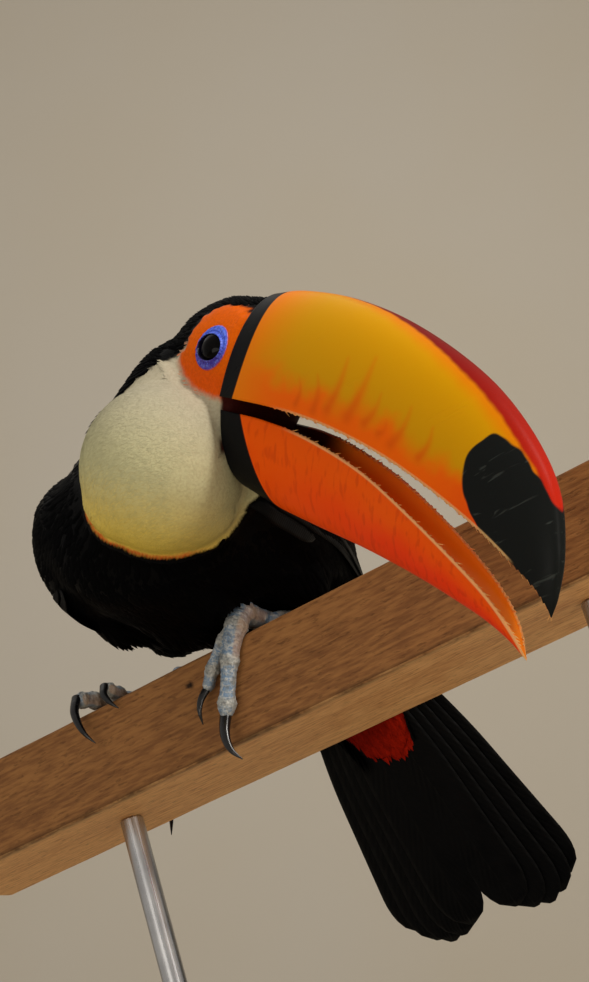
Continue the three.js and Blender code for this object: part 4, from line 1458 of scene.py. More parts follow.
def scattered(corners, points, normals, spacing, rng):
    """Roots spread over triangles: places thrown evenly by area, of which one stays in each cube of the
    spacing. Gives the places, their normals, and the corners of their triangles."""
    first, second, third = (points[corners[:, k]] for k in range(3))
    area = size_of(np.cross(second - first, third - first))
    count = int(area.sum() / 2 / spacing**2 * 3.2)
    chosen = rng.choice(len(corners), count, p=area / area.sum())
    share = rng.random((count, 2))
    share = np.where(share.sum(1, keepdims=True) > 1, 1 - share, share)
    weights = np.column_stack([1 - share.sum(1), share])
    places = (points[corners[chosen]] * weights[..., None]).sum(1)
    _, kept = np.unique(np.floor(places / spacing).astype(int), axis=0, return_index=True)
    chosen, weights = chosen[kept], weights[kept]
    return places[kept], unit((normals[corners[chosen]] * weights[..., None]).sum(1)), corners[chosen]


def bend_along(points, normals, corners, ways):
    """How sharply the skin curves away along each direction: the turn of the normal over a step taken that
    way inside its triangle, from the two shares of the sides that add up to the step."""
    one, two = (points[corners[:, k]] - points[corners[:, 0]] for k in (1, 2))
    a, b, c = (one * one).sum(1), (one * two).sum(1), (two * two).sum(1)
    p, q = (ways * one).sum(1), (ways * two).sum(1)
    room = np.maximum(a * c - b * b, 1e-9)
    s, t = (p * c - q * b) / room, (q * a - p * b) / room
    turn = s[:, None] * (normals[corners[:, 1]] - normals[corners[:, 0]])
    turn = turn + t[:, None] * (normals[corners[:, 2]] - normals[corners[:, 0]])
    return np.clip((turn * ways).sum(1), -0.02, 0.2)


def standing(points, skin, normals):
    """Distance of points from the nearest point of the skin, along that point's normal."""
    square = (skin * skin).sum(1)
    nearest = np.empty(len(points), int)
    for start in range(0, len(points), 512):
        some = slice(start, start + 512)
        nearest[some] = (square - 2 * (points[some] @ skin.T)).argmin(1)
    return ((points - skin[nearest]) * normals[nearest]).sum(1)


def tufts(roots, normals, ways, bend, length, half, lift, rings, pointed, rounded):
    """Tufts as closed slivers. A share s of the way along, the middle line has gone s * length the way the
    coat lies and stands lift * s - bend * (s * length)^2 / 2 over the skin at the root, which is sunk by
    0.35 mm. The half-width swells from 0.6 of itself to 1 at 0.4 of the way and narrows again by the pointed
    share. Gives points, faces, normals that keep to the skin's and lean to each side by the rounded share, a
    map of across and along, and how many points a tuft has."""
    count = len(roots)
    share = np.linspace(0, 0.86, rings)[None, :]
    run = length[:, None] * share
    stand = lift[:, None] * share - bend[:, None] * run**2 / 2 - ROOT_DEPTH * (1 - share)
    tipped = unit(normals[:, None] + ways[:, None] * (bend[:, None] * run)[..., None])
    middle = roots[:, None] + ways[:, None] * run[..., None] + normals[:, None] * stand[..., None]
    wide = half[:, None] * (0.6 + 0.4 * smooth(share, 0, 0.4) - pointed * smooth(share, 0.4, 1.1))
    side = np.cross(normals, ways)[:, None]
    left = middle + side * wide[..., None] - tipped * (0.14 * wide)[..., None]
    right = middle - side * wide[..., None] - tipped * (0.14 * wide)[..., None]
    keel = middle + tipped * (0.1 * wide)[..., None]
    end = roots + ways * length[:, None] + normals * (lift - bend * length**2 / 2)[:, None]
    points = np.concatenate([np.stack([left, keel, right], 2).reshape(count, -1, 3), end[:, None]], 1)
    lean = rounded * side * np.ones_like(middle)
    shading = np.stack([unit(tipped + lean), tipped, unit(tipped - lean)], 2).reshape(count, -1, 3)
    shading = np.concatenate([shading, unit(normals + ways * (bend * length)[:, None])[:, None]], 1)
    ring = 3 * np.arange(rings - 1)[:, None, None]
    quads = np.array([[1, 4, 3, 0], [2, 5, 4, 1], [0, 3, 5, 2]])[None] + ring
    last, tip = 3 * (rings - 1), 3 * rings
    ends = np.array([[last + 1, tip, last], [last + 2, tip, last + 1], [last, tip, last + 2], [0, 2, 1]])
    shift = (np.arange(count) * (tip + 1))[:, None, None]
    faces = [(quads.reshape(-1, 4)[None] + shift).reshape(-1, 4), (ends[None] + shift).reshape(-1, 3)]
    across = np.tile([0.0, 0.5, 1.0], rings)
    vane = np.column_stack([across, np.repeat(share[0], 3)])
    vane = np.vstack([vane, [0.5, 1.0]])
    return points.reshape(-1, 3), faces, shading.reshape(-1, 3), np.tile(vane, (count, 1)), tip + 1


def tuft_sizes(patch, roots, rng):
    """Length, half-width, lift, wander, rings and pointedness of a patch's tufts: shortest at the bill,
    growing back over the bird, each a little different. Those at the bib's rim are short and lie flat."""
    count = len(roots)
    vary = rng.uniform(0.82, 1.18, count)
    far = size_of(roots - from_head([-4, 0, 8]))
    if patch in PALE_PATCHES:
        near_rim = smooth(pale_reach(roots), -1.8, 0.2)
        length = (3.4 + 3.0 * smooth(far, 20, 75)) * vary * (1 - 0.72 * near_rim)
        return length, 0.46 * vary, 0.05 * length * (1 - near_rim), 0.16, 3, 0.55
    if patch == "crown":
        grown = smooth(far, 12, 60)
        length = (3.6 + 5.4 * grown) * vary
        return length, (0.75 + 0.6 * grown) * vary, 0.05 * length + rng.uniform(0, 0.35, count), 0.14, 4, 0.6
    if patch in ("rump", "vent"):
        reach = 16.0 if patch == "vent" else 13.0
        return reach * vary, 1.7 * vary, 0.05 * reach * vary, 0.13, 4, 0.7
    grown = smooth(far, 50, 110)
    length = (8.0 + 5.5 * grown) * vary
    low = smooth(roots[:, 2], 30, 16) * smooth(roots[:, 1], -20, 0)
    return length, (1.25 + 0.85 * grown) * vary * (1 - 0.3 * low), 0.012 * length, 0.1, 4, 0.5


def foot_gap(points):
    """How far points are, in millimetres, from the middle lines of the shanks and toes."""
    gap = np.full(len(points), 1e9)
    for hand_name in SIDES:
        line = on_perch(foot_lines(hand_name)[::4, :3])
        gap = np.minimum(gap, size_of(points[:, None] - line).min(1))
    return gap


def build_coat(patch, spacing, colours, coat):
    """One patch of the coat: tufts rooted over its part of the skin, lying the way the coat lies and bent
    with the skin. Under the belly they hang down and are longer, and near the feet they are shorter. Tips
    that would stand off the skin are bent back to it, but for the pale patches and the vent."""
    points, normals, corners, fields = skin_fields()
    rng = np.random.default_rng([SEED, *patch.encode()])
    corners = corners[patch_of(fields) == patch]
    roots, up, corners = scattered(corners, points, normals, spacing / math.sqrt(coat.density), rng)
    pale = patch in PALE_PATCHES
    if pale:
        # none outside the pale plumage's edge, which is drawn in below
        kept = pale_reach(roots) < 0.7 + 0.7 * (in_head(roots)[:, 2] > -26)
        roots, up, corners = roots[kept], up[kept], corners[kept]
    length, half, lift, wander, rings, pointed = tuft_sizes(patch, roots, rng)
    length = length * coat.length
    ways = lie(roots, up, wander, rng)
    x, y, z = roots.T
    belly = smooth(z, 26, 12) * smooth(y, -34, -16)
    flank = smooth(z, 38, 30) * smooth(x, -38, -46) * smooth(np.abs(y + 1), 19, 11)
    legs = np.exp(-((foot_gap(roots) / LEG_REACH) ** 2))
    hang = np.maximum(belly, 0.8 * flank) * (patch in ("back", "breast")) * (1 - legs)
    ways = unit(ways + hang[:, None] * [0, 0, -0.9])
    bend = bend_along(points, normals, corners, ways) * (1 - 0.7 * hang)
    length = length * (1 + 0.4 * hang) * (1 - 0.6 * legs) / (1 + 7 * np.maximum(bend, 0))
    if not pale and patch != "vent":
        tips = roots + ways * length[:, None] + up * (lift - bend * length**2 / 2)[:, None]
        off = standing(tips, points[::2], normals[::2]) - lift - ROOT_DEPTH
        bend = np.clip(bend + 2 * off / length**2 * (1 - hang), -0.05, 0.4)
    tips = roots + ways * length[:, None]
    free = foot_gap(tips) > TOE_ROOM
    if patch == "crown":
        free &= line_offset(in_head(tips)[:, [0, 2]], CAP_LINE) < 0.7
    sizes = (part[free] for part in (roots, up, ways, bend, length, half, lift))
    points, faces, shading, vane, size = tufts(*sizes, rings, pointed, 0.2 if pale else 0.45)
    roots = roots[free]
    # tips that reach into the timber are laid on its upper side
    flat = on_perch(points, -PERCH_TURN)
    into = (flat[:, 2] < 0.5) & (flat[:, 2] > -12) & (flat[:, 1] > -1.0) & (flat[:, 1] < PERCH_DEPTH + 1)
    points[into, 2] = 0.5 + 0.02 * (points[into, 2] + 12)
    black = patch in BLACK_PATCHES
    colour = np.tile(np.array(colours.black), (len(roots), 1)) if black else markings(roots, colours)
    uneven = 0.035 if pale else 0.25
    colour = np.clip(colour * rng.uniform(1 - uneven, 1 + uneven / 2, (len(roots), 1)), 0, 1)
    made = mesh_object(f"{patch}_feathers", points, faces, tuft_material())
    made.data.normals_split_custom_set_from_vertices(shading.astype(np.float32))
    lay_uv(made, "OFBake", np.repeat(unwrap(roots), size, 0) + 0.003 * (vane - 0.5))
    lay_uv(made, "Vane", vane)
    paint(made, markings=np.repeat(colour, size, 0), along=vane[:, 1])
    return made


# ---------------------------------------------------------------- finishes


@group("Feather barbs", {"Vane": "Vector", "Lines": "Float"}, "Height")
def barbs(given):
    """Barbs of a vane: fine lines that run out from the shaft towards the tip, and the shaft itself."""
    across, along, _ = node(given["Vane"].id_data, "SeparateXYZ", {0: given["Vane"]}).outputs
    off = calc("ABSOLUTE", calc("SUBTRACT", across, 0.5))
    slant = calc("SUBTRACT", times(along, given["Lines"]), times(off, 9.0))
    wave = calc("SINE", times(slant, 2 * math.pi))
    return {"Height": plus(times(wave, 0.3), fade(off, 0.02, 0.05, 1.0, 0.0))}


@material("Plumage", Specular_IOR_Level=0.1)
def feather_material(tree):
    """Long feathers: the markings' colour, a little uneven, with barbs raised along each vane."""
    at = object_place(tree)
    lines = use(barbs, Vane=node(tree, "UVMap", uv_map="Vane").outputs[0], Lines=26.0)
    uneven = fade(noise(at, 220.0, 3.0), 0.3, 0.75, 0.0, 0.22)
    colour = blend(uneven, attribute(tree, "markings", "Color"), BLACK)
    return colour, fade(noise(at, 90.0), 0.3, 0.7, 0.42, 0.62), bump(lines["Height"], 0.35, 0.0003)


@material("Small feathers", Specular_IOR_Level=0.02)
def tuft_material(tree):
    """Small feathers: the markings' colour with painted shade deepening each towards its root, where the
    feathers over it cover it, and a soft uneven sheen.
    """
    at = object_place(tree)
    colour = layered(
        attribute(tree, "markings", "Color"),
        (fade(noise(at, 300.0, 3.0), 0.35, 0.75, 0.0, 0.12), BLACK),
        # painted shade: darker towards the root, which the feathers over it hide
        (fade(attribute(tree, "along"), 0.5, 0.0, 0.0, 0.12), BLACK),
    )
    return colour, fade(noise(at, 90.0), 0.3, 0.7, 0.5, 0.7)


@material("Skin and down", Specular_IOR_Level=0.05)
def skin_material(tree):
    """Skin under and between the plumage: the markings' colour, unevenly deeper, finely pebbled."""
    at = object_place(tree)
    fine, broad = noise(at, 900.0, 3.0), noise(at, 160.0, 3.0)
    deeper = fade(fine, 0.35, 0.7, 0.0, 0.14)
    colour = blend(deeper, attribute(tree, "markings", "Color"), tint(120, 40, 4), "MULTIPLY")
    return colour, fade(broad, 0.3, 0.7, 0.42, 0.6), bump(plus(times(fine, 0.6), broad), 0.5, 0.0006)


@group("Horn growth", {"Place": "Vector"}, "Height", "Cloud", "Scratch")
def horn(given):
    """Growth of horn: faint lines along its length, clouds and fine scratches."""
    at = given["Place"]
    cloud = noise(at, 60.0, 3.0)
    lines = noise(at, 420.0, 2.0, stretch=(0.15, 1.0, 1.0))
    scratch = fade(noise(at, 500.0, 2.0, 0.6, (0.04, 1.0, 1.0), 0.6), 0.62, 0.7)
    height = calc("SUBTRACT", plus(times(cloud, 0.7), times(lines, 0.25)), scratch)
    return {"Height": height, "Cloud": cloud, "Scratch": scratch}


def upper_horn(tree, scratch, place, level, colours):
    """Colours outside and inside the bill's upper half: orange edges under yellow sides, flame marks, the
    ridge's band and the scratched dark patch."""
    roof = attribute(tree, "culmen")
    band = blend(fade(place, 0.3, 0.85), tint(118, 14, 12), colours.culmen)
    dark = blend(times(scratch, 0.5), colours.bill_tip, tint(66, 70, 66))
    outer = layered(
        colours.bill_orange,
        (fade(level, 0.1, 0.42), colours.bill_yellow),
        (fade(place, 0.2, 0.06), tint(240, 128, 0)),
        (times(fade(place, 0.45, 0.7), fade(level, 0.3, 0.08)), tint(236, 64, 12)),
        (times(attribute(tree, "flames"), 0.8), tint(228, 90, 0)),
        (fade(roof, -6.0, -0.4, 0.0, 0.6), tint(226, 104, 0)),
        (fade(roof, -1.0, 0.9), band),
        (fade(attribute(tree, "patch"), -0.5, 0.5), dark),
    )
    return outer, blend(fade(place, 0.1, 0.42), tint(50, 10, 6), tint(246, 106, 14))


def lower_horn(tree, scratch, place, level, colours):
    """Colours outside and inside the bill's lower half: orange, then red, with faint stripes. Inside, dark
    red near the hinge, then an orange paler than the horn, as painted light on the hollow's far wall.
    """
    red = np.array(colours.bill_red)
    stripes = noise(node(tree, "UVMap", uv_map="Side").outputs[0], 70.0, 1.0, stretch=(1.0, 0.06, 1.0))
    outer = layered(
        0.7 * np.array(colours.bill_orange) + 0.3 * red,
        (times(fade(level, 0.2, 0.75), fade(place, 0.1, 0.55, 0.3, 1.0)), red),
        (fade(place, 0.3, 0.8, 0.0, 0.3), red),
        (fade(place, 0.93, 0.99), tint(240, 140, 60)),
        (fade(stripes, 0.52, 0.7, 0.0, 0.3), tint(196, 44, 10)),
    )
    # painted light: the inside's orange is paler than the horn, standing in for light reaching into the
    # hollow
    return outer, blend(fade(place, 0.14, 0.26), tint(60, 12, 6), tint(255, 134, 24))


@material("Bill horn {}", Subsurface_Weight=0.05, Subsurface_Scale=0.003, Specular_IOR_Level=0.06)
def bill_material(tree, half, colours):
    """Horn of the bill: its half's colours under a base band, a pale worn rim and the inner side."""
    parts = use(horn, Place=object_place(tree))
    place = attribute(tree, "place")
    level = plus(attribute(tree, "rise"), fade(parts["Cloud"], 0.3, 0.7, -0.08, 0.08))
    upper = half == "upper"
    outer, inner = (upper_horn if upper else lower_horn)(tree, parts["Scratch"], place, level, colours)
    rim = fade(attribute(tree, "rim"), *((1.0, 0.3) if upper else (1.3, 0.5)))
    worn = times(rim, fade(place, 0.16, 0.24))
    if upper:
        worn = times(worn, fade(place, 0.72, 0.68))
    colour = layered(
        outer,
        (fade(attribute(tree, "band"), -0.35, 0.35), tint(16, 16, 17)),
        (times(worn, 0.75), tint(246, 196, 130)),
        (attribute(tree, "inside"), inner),
    )
    return colour, fade(parts["Cloud"], 0.3, 0.7, 0.34, 0.46), bump(parts["Height"], 0.12, 0.0006)


@material("Bill teeth", Subsurface_Weight=0.1, Subsurface_Scale=0.001)
def tooth_material(tree):
    """Translucent pale horn of the teeth, yellower in clouds."""
    parts = use(horn, Place=object_place(tree))
    colour = blend(fade(parts["Cloud"], 0.3, 0.7), tint(246, 190, 110), tint(240, 150, 60))
    return colour, 0.4, bump(parts["Height"], 0.1)


@material("Eyeball", Specular_IOR_Level=0.08)
def eye_material(tree):
    """Wet dark eye: nearly black, with faint brown flecks."""
    fleck = noise(object_place(tree), 1400.0, 3.0)
    colour = blend(fade(fleck, 0.4, 0.7, 0.0, 0.5), tint(4, 3, 3), tint(12, 7, 6))
    return colour, fade(fleck, 0.2, 0.8, 0.02, 0.05)


@material("Eye ring skin")
def lid_material(tree, colours):
    """Blue skin of the eye ring, violet below, with fine pale folds that run outwards."""
    ring = attribute(tree, "ring")
    fine = node(tree, "CombineXYZ", {0: times(attribute(tree, "around"), 60.0), 1: times(ring, 2.5)})
    streak = noise(fine.outputs[0], 1.0, 3.0)
    colour = layered(
        tint(66, 44, 168),
        (fade(attribute(tree, "turn"), -0.7, 0.6), colours.eye_ring),
        (fade(streak, 0.45, 0.75, 0.0, 0.6), tint(120, 150, 250)),
        (fade(streak, 0.5, 0.3, 0.0, 0.6), tint(26, 20, 90)),
        (fade(ring, 0.12, 0.02), tint(20, 14, 40)),
        (fade(ring, 0.78, 0.95), tint(230, 104, 14)),
    )
    return colour, 0.42, bump(plus(streak, noise(object_place(tree), 1500.0)), 0.5, 0.0004)


@material("Foot skin")
def foot_material(tree, colours):
    """Blue-grey scaly skin: plates pale at their edges, dark in the joints, with buff pads below."""
    at = object_place(tree)
    share, plated, knob, pad = (attribute(tree, name) for name in ("scute", "plated", "knob", "pad"))
    patch, fine, flakes = noise(at, 110.0, 3.0, 0.6), noise(at, 900.0, 3.0, 0.6), noise(at, 420.0, 2.0, 0.7)
    crusty = plus(knob, fade(patch, 0.35, 0.7, -0.45, 0.5))
    colour = layered(
        colours.foot,
        (fade(fine, 0.35, 0.65), tint(142, 158, 172)),
        (fade(crusty, -0.1, 0.4), tint(150, 152, 148)),
        (fade(flakes, 0.52, 0.62, 0.0, 0.65), tint(204, 203, 196)),
        (fade(flakes, 0.45, 0.35, 0.0, 0.6), tint(92, 98, 104)),
        (fade(plated, 0.6, 0.1, 0.0, 0.5), tint(138, 138, 132)),
        (times(fade(pad, 0.4, 0.9), 0.5), tint(190, 148, 112)),
        (times(times(fade(share, 0.6, 0.9), plated), 0.45), tint(206, 204, 196)),
        (times(times(fade(share, 0.12, 0.0), plated), 0.6), tint(52, 60, 78)),
        (fade(fine, 0.5, 0.8, 0.0, 0.7), tint(74, 72, 74)),
    )
    return colour, fade(fine, 0.3, 0.7, 0.45, 0.65), bump(plus(fine, times(patch, 0.5)), 0.5, 0.0004)


@material("Claw horn")
def claw_material(tree, colours):
    """Black horn, browner at its root and faintly scratched."""
    parts = use(horn, Place=object_place(tree))
    colour = layered(
        tint(40, 36, 34),
        (fade(attribute(tree, "along"), 0.06, 0.2), colours.claw),
        (times(parts["Scratch"], 0.2), tint(90, 90, 92)),
    )
    return colour, fade(parts["Cloud"], 0.3, 0.7, 0.2, 0.36), bump(parts["Height"], 0.15)


@group("Timber grain", {"Place": "Vector"}, "Shade", "Height", "Pores")
def grain(given):
    """Timber grain along the timber: long wavering bands, fine fibres and pores, as a shade and a height."""
    squared = {"Vector": given["Place"], "Rotation": (0.0, 0.0, -PERCH_TURN)}
    at = node(given["Place"].id_data, "Mapping", squared).outputs[0]
    bands = noise(at, 60.0, 4.0, 0.55, (0.07, 1.0, 1.0), 0.6)
    fibres = noise(at, 700.0, 3.0, 0.6, (0.12, 1.0, 1.0))
    pores = fade(noise(at, 900.0, 2.0, 0.6, (0.22, 1.0, 1.0)), 0.58, 0.7)
    height = calc("SUBTRACT", fibres, times(pores, 0.6))
    return {"Shade": plus(times(bands, 0.3), times(fibres, 0.7)), "Height": height, "Pores": pores}


@material("Weathered timber", Specular_IOR_Level=0.12)
def timber_material(tree, colours):
    """Weathered brown timber with a small knot: painted light makes its underside paler, and a patchy painted
    shadow runs along the lower arris.
    """
    at = object_place(tree)
    parts = use(grain, Place=at)
    face = blend(fade(parts["Shade"], 0.34, 0.66), tint(124, 82, 48), colours.timber)
    # painted light: paler colours for the underside, as if lit from below
    under = blend(fade(parts["Shade"], 0.34, 0.62), tint(206, 144, 88), tint(240, 186, 124))
    # patches that break up the painted shadow along the arris
    arris_shadow_patches = fade(noise(at, 80.0, 4.0, 0.7), 0.35, 0.65, 0.4, 0.85)
    colour = layered(
        face,
        (fade(attribute(tree, "side"), 0.3, 0.7), under),
        (times(parts["Pores"], 0.35), tint(60, 38, 22)),
        # painted shadow along the lower arris
        (times(attribute(tree, "arris"), arris_shadow_patches), tint(52, 36, 24)),
        (attribute(tree, "knot"), tint(34, 22, 14)),
    )
    return colour, fade(parts["Shade"], 0.3, 0.7, 0.55, 0.72), bump(parts["Height"], 0.35, 0.0005)


@group("Brushed marks", {"Place": "Vector"}, "Height", "Wear")
def brushed(given):
    """Marks left by brushing and handling, as a height and a shade, on any hard surface."""
    at = given["Place"]
    return {"Height": noise(at, 1500.0, stretch=(1.0, 1.0, 0.02)), "Wear": noise(at, 40.0, 3.0)}


@material("Brushed steel", Metallic=1.0)
def rod_material(tree, colours):
    """Brushed steel."""
    parts = use(brushed, Place=object_place(tree))
    colour = blend(fade(parts["Wear"], 0.3, 0.7), colours.steel, tint(206, 206, 206))
    return colour, fade(parts["Height"], 0.3, 0.7, 0.24, 0.4), bump(parts["Height"], 0.08, 0.0002)


@material("Satin paint")
def plate_material(tree, colours):
    """Dark satin paint with a faint texture."""
    at = object_place(tree)
    fine = noise(at, 1200.0)
    colour = blend(fade(use(brushed, Place=at)["Wear"], 0.3, 0.7), colours.plate, tint(74, 74, 76))
    return colour, fade(fine, 0.3, 0.7, 0.42, 0.55), bump(fine, 0.15, 0.0003)


@material("Backdrop")
def wall_material(tree, settings):
    """A matt warm wall, very slightly uneven."""
    cloud = noise(object_place(tree), 1.1, 3.0)
    return blend(fade(cloud, 0.3, 0.7), settings.wall, tint(196, 186, 168)), 0.9


# ---------------------------------------------------------------- stage


# Where the camera stands, in the perch frame, and how it is turned
CAMERA_PLACE = np.array([429.5, -781.5, -271.7])
CAMERA_BACK = unit(np.array([0.414, -0.844, -0.342]))
CAMERA_RIGHT = unit(np.cross([0.407, -0.164, 0.898], CAMERA_BACK))
CAMERA_UP = np.cross(CAMERA_BACK, CAMERA_RIGHT)
# The backdrop in metres: its front edge, its wall, the rounding between them, its height and half its width
FLOOR_FRONT, WALL_BACK, WALL_ROUNDING, WALL_HEIGHT, WALL_HALF = -4.0, 3.6, 0.6, 5.0, 6.0
# Lights: name, metres towards the camera, up and to the right, size, power and colour
LIGHTS = [
    ("Key", 0.95, 0.85, 0.95, 0.14, 15.0, (1.0, 0.96, 0.9)),
    ("Fill", 1.2, -0.35, -0.7, 1.0, 8.5, (1.0, 0.95, 0.88)),
    ("Top", -0.5, 1.4, -0.2, 1.2, 1.9, (1.0, 0.97, 0.93)),
    ("Low", 0.89, -0.14, 0.74, 0.09, 2.2, (1.0, 0.96, 0.9)),
    ("Wall wash", -1.3, 1.9, 0.5, 1.0, 24.0, (1.0, 0.97, 0.93)),
]


def placed(name, data, place, rotation):
    """Puts a lamp or the camera at a place in metres, turned by a quaternion."""
    holder = bpy.data.objects.new(name, data)
    holder.location = place
    holder.rotation_mode = "QUATERNION"
    holder.rotation_quaternion = rotation
    bpy.context.scene.collection.objects.link(holder)
    return holder


def build_stage(settings):
    """A pale floor that sweeps up into a wall: a flat strip, a quarter round and an upright strip, carried
    sideways. Disk lamps look at the bird, and one at the wall."""
    turn = np.linspace(0, np.pi / 2, 16)
    sweep = np.stack([WALL_BACK - WALL_ROUNDING * (1 - np.sin(turn)), WALL_ROUNDING * (1 - np.cos(turn))], 1)
    profile = np.vstack([[FLOOR_FRONT, 0], sweep, [WALL_BACK, WALL_HEIGHT]])
    way = unit(CAMERA_BACK * [-1, -1, 0])
    side = np.array([-way[1], way[0], 0])
    across = np.linspace(-WALL_HALF, WALL_HALF, 3)
    grid = way * profile[:, None, :1] + side * across[None, :, None] + profile[:, None, 1:] * [0, 0, 1]
    points = (grid.reshape(-1, 3) - PERCH_ORIGIN) / MM
    faces = [grid_faces(len(profile), 3, wrap=False)[:, ::-1]]
    floor = mesh_object("floor_and_wall", points, faces, wall_material(settings), body=None)
    scene = bpy.context.scene
    middle = PERCH_ORIGIN + np.array([0.03, 0.02, 0.0])
    for name, away, up, right, size, power, colour in LIGHTS:
        lamp = bpy.data.lights.new(name, "AREA")
        lamp.shape, lamp.size, lamp.energy, lamp.color = "DISK", size, power * settings.brightness, colour
        place = middle + (away * CAMERA_BACK + right * CAMERA_RIGHT) * [1, 1, 0] + [0, 0, up]
        aim = middle if name != "Wall wash" else middle - 3.2 * CAMERA_BACK * [1, 1, 0] + [0, 0, 0.9]
        placed(name, lamp, place, Vector(aim - place).to_track_quat("-Z", "Y"))
    scene.world = bpy.data.worlds.new("Room")
    scene.world.use_nodes = True
    air = scene.world.node_tree.nodes["Background"].inputs
    air["Color"].default_value = (*settings.air, 1)
    air["Strength"].default_value = settings.air_strength
    scene.view_settings.view_transform = "Standard"
    lens = bpy.data.cameras.new("Camera")
    lens.sensor_fit, lens.sensor_width, lens.lens = "AUTO", 36, settings.lens
    lens.clip_start, lens.clip_end = 0.02, 20
    axes = Matrix(np.stack([CAMERA_RIGHT, CAMERA_UP, CAMERA_BACK], 1).tolist())
    scene.camera = placed("Camera", lens, PERCH_ORIGIN + CAMERA_PLACE * MM, axes.to_quaternion())
    return floor


# ---------------------------------------------------------------- settings, operators and panel


def shade(name, words, colour):
    """A colour setting."""
    return bpy.props.FloatVectorProperty(
        name=name, description=words, default=colour, subtype="COLOR", min=0, max=1
    )


def amount(name, words, value, low, high, unit="NONE"):
    """A number setting, with its unit where it has one."""
    return bpy.props.FloatProperty(
        name=name, description=words, default=value, min=low, max=high, unit=unit, precision=4
    )


def span(name, words, value, low, high):
    """A length setting in metres."""
    return amount(name, words, value, low, high, "LENGTH")


class ToucanColours(bpy.types.PropertyGroup):
    """Colours of the bird, the timber and the stand."""

    black: shade("Black", "Cap, body, wings and tail", tint(4, 4, 5))
    cheek: shade("Cheek", "Throat feathers next to the face", tint(186, 178, 154))
    cream: shade("Cream", "Throat feathers half-way down", tint(202, 198, 152))
    ochre: shade("Ochre", "Lowest feathers of the bib", tint(242, 212, 90))
    bib_rim: shade("Bib rim", "Edge of the bib", tint(214, 98, 40))
    face: shade("Face", "Bare skin round the eye", tint(234, 100, 0))
    face_low: shade("Lower face", "Bare skin next to the mouth", tint(232, 90, 6))
    vent: shade("Vent", "Feathers under the tail", tint(150, 26, 8))
    rump: shade("Rump", "Feathers above the tail", tint(222, 218, 204))
    mouth: shade("Mouth", "Skin inside the mouth", tint(52, 10, 6))
    bill_yellow: shade("Bill yellow", "Sides of the upper half", tint(214, 152, 0))
    bill_orange: shade("Bill orange", "Edges of the upper half and root of the lower", tint(250, 104, 0))
    bill_red: shade("Bill red", "Underside and far part of the lower half", tint(246, 60, 8))
    culmen: shade("Ridge", "Band along the bill's ridge", tint(196, 38, 14))
    bill_tip: shade("Bill tip", "Patch at the tip of the upper half", tint(22, 24, 23))
    eye_ring: shade("Eye ring", "Upper part of the ring round the eye", tint(60, 92, 220))
    foot: shade("Foot", "Skin between the joints of the toes", tint(96, 126, 158))
    claw: shade("Claw", "Claws", tint(11, 11, 13))
    timber: shade("Timber", "Lighter grain of the timber", tint(160, 112, 66))
    steel: shade("Rods", "Rods of the stand", tint(176, 176, 178))
    plate: shade("Plate", "Plate of the stand", tint(62, 62, 64))


class ToucanSizes(bpy.types.PropertyGroup):
    """How dense and long the coat is, and small dimensions of the other pieces."""

    density: amount("Density", "Share of the tufts", 1.0, 0.05, 1.3)
    length: amount("Length", "Factor on tuft lengths", 1.0, 0.5, 1.4)
    tooth: span("Teeth", "Usual length of the bill's teeth", 0.0021, 0.0005, 0.004)
    scute: span("Scutes", "Height of the steps between a foot's plates", 0.0002, 0, 0.0006)
    plate_corner: span("Plate corner", "Radius of the plate's corners, as in its solid", 0.026, 0.005, 0.08)
    plate_edge: span("Plate edge", "Rounding of the plate's edges", 0.0016, 0.0004, 0.004)
    collar: span("Collar", "How far a rod's collar stands out", 0.0042, 0.001, 0.01)


class ToucanStage(bpy.types.PropertyGroup):
    """Camera, backdrop and light."""

    lens: amount("Lens", "Focal length", 85.8, 20, 300, "CAMERA")
    wall: shade("Wall", "Floor and wall", tint(197, 189, 175))
    air: shade("Air", "Light from all round", (1.0, 0.95, 0.88))
    air_strength: amount("Air strength", "Strength of the light from all round", 0.44, 0, 3)
    brightness: amount("Brightness", "Factor on every lamp", 0.78, 0, 10)


def finished(*made):
    """Ends an operator, with an error if it left an object without faces."""
    for piece in made:
        if not piece.data.polygons:
            raise RuntimeError(f"{piece.name} came out empty")
    return {"FINISHED"}


class TOUCAN_OT_stage(bpy.types.Operator):
    """Builds the floor, wall, lamps and camera"""

    bl_idname = "toucan.stage"
    bl_label = "Stage"

    def execute(self, context):
        return finished(build_stage(context.scene.toucan_stage))


class TOUCAN_OT_timber(bpy.types.Operator):
    """Builds the timber that the bird grips"""

    bl_idname = "toucan.timber"
    bl_label = "Timber"

    def execute(self, context):
        return finished(build_timber(context.scene.toucan_colours))


class TOUCAN_OT_stand(bpy.types.Operator):
    """Builds the plate and the two rods"""

    bl_idname = "toucan.stand"
    bl_label = "Stand"

    def execute(self, context):
        colours, sizes = context.scene.toucan_colours, context.scene.toucan_sizes
        plate = build_plate(colours, sizes)
        return finished(plate, *(build_rod(number, colours, sizes) for number in (1, 2)))


class TOUCAN_OT_skin(bpy.types.Operator):
    """Builds the one skin of head, neck, trunk, tail base, thighs and wings"""

    bl_idname = "toucan.skin"
    bl_label = "Skin"

    def execute(self, context):
        return finished(build_skin(context.scene.toucan_colours))


class TOUCAN_OT_bill(bpy.types.Operator):
    """Builds both halves of the bill and its teeth"""

    bl_idname = "toucan.bill"
    bl_label = "Bill"

    def execute(self, context):
        colours = context.scene.toucan_colours
        teeth = build_teeth(context.scene.toucan_sizes)
        return finished(build_bill_upper(colours), build_bill_lower(colours), teeth)


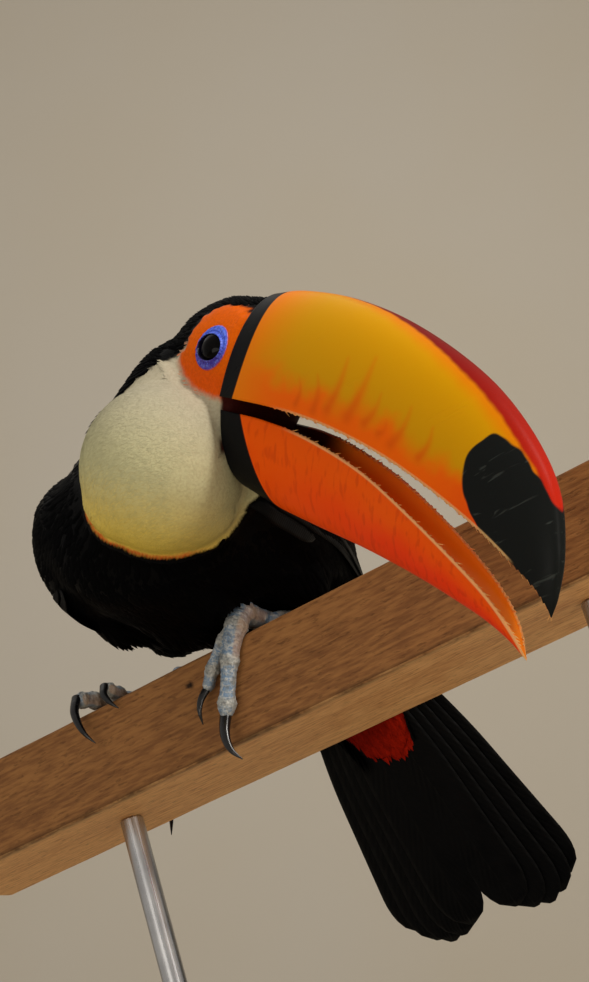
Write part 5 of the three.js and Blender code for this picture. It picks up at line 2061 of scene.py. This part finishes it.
class TOUCAN_OT_eyes(bpy.types.Operator):
    """Builds both eyeballs and the bare rings round them"""

    bl_idname = "toucan.eyes"
    bl_label = "Eyes"

    def execute(self, context):
        colours = context.scene.toucan_colours
        return finished(*(made for hand in SIDES for made in (build_eye(hand), build_lids(hand, colours))))


class TOUCAN_OT_feet(bpy.types.Operator):
    """Builds both feet and their claws"""

    bl_idname = "toucan.feet"
    bl_label = "Feet"

    def execute(self, context):
        colours, sizes = context.scene.toucan_colours, context.scene.toucan_sizes
        feet = [build_foot(hand, colours, sizes) for hand in SIDES]
        return finished(*feet, *(build_claws(hand, colours) for hand in SIDES))


class TOUCAN_OT_quills(bpy.types.Operator):
    """Builds the long feathers of the tail and the wings"""

    bl_idname = "toucan.quills"
    bl_label = "Long feathers"

    def execute(self, context):
        colours = context.scene.toucan_colours
        return finished(*(build(hand, colours) for hand in SIDES for build in (build_tail, build_wing)))


class TOUCAN_OT_coat(bpy.types.Operator):
    """Builds the coat of small feathers, patch by patch"""

    bl_idname = "toucan.coat"
    bl_label = "Coat"

    def execute(self, context):
        colours, sizes = context.scene.toucan_colours, context.scene.toucan_sizes
        return finished(*(build_coat(patch, spacing, colours, sizes) for patch, spacing in PATCHES.items()))


class TOUCAN_PT_panel(bpy.types.Panel):
    """Everything that can be built, in order, and the settings"""

    bl_label = "Toucan"
    bl_idname = "TOUCAN_PT_panel"
    bl_space_type = "VIEW_3D"
    bl_region_type = "UI"
    bl_category = "Toucan"

    def draw(self, context):
        for made in OPERATORS:
            self.layout.operator(made.bl_idname)
        for name, made in SETTINGS.items():
            box = self.layout.box()
            for setting in made.__annotations__:
                box.prop(getattr(context.scene, name), setting)


SETTINGS = {"toucan_colours": ToucanColours, "toucan_sizes": ToucanSizes, "toucan_stage": ToucanStage}
OPERATORS = (
    TOUCAN_OT_stage,
    TOUCAN_OT_timber,
    TOUCAN_OT_stand,
    TOUCAN_OT_skin,
    TOUCAN_OT_bill,
    TOUCAN_OT_eyes,
    TOUCAN_OT_feet,
    TOUCAN_OT_quills,
    TOUCAN_OT_coat,
)


def register():
    """Registers the classes and hangs the settings on the scene."""
    for made in (*SETTINGS.values(), *OPERATORS, TOUCAN_PT_panel):
        bpy.utils.register_class(made)
    for name, made in SETTINGS.items():
        setattr(bpy.types.Scene, name, bpy.props.PointerProperty(type=made))


def unregister():
    """Takes the settings off the scene and unregisters the classes."""
    for name in SETTINGS:
        delattr(bpy.types.Scene, name)
    for made in (TOUCAN_PT_panel, *reversed(OPERATORS), *reversed(SETTINGS.values())):
        bpy.utils.unregister_class(made)


def main():
    """Registers the add-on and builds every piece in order."""
    register()
    for made in OPERATORS:
        getattr(bpy.ops.toucan, made.bl_idname.split(".")[1])()
    bpy.context.view_layer.update()


if __name__ == "__main__":
    main()
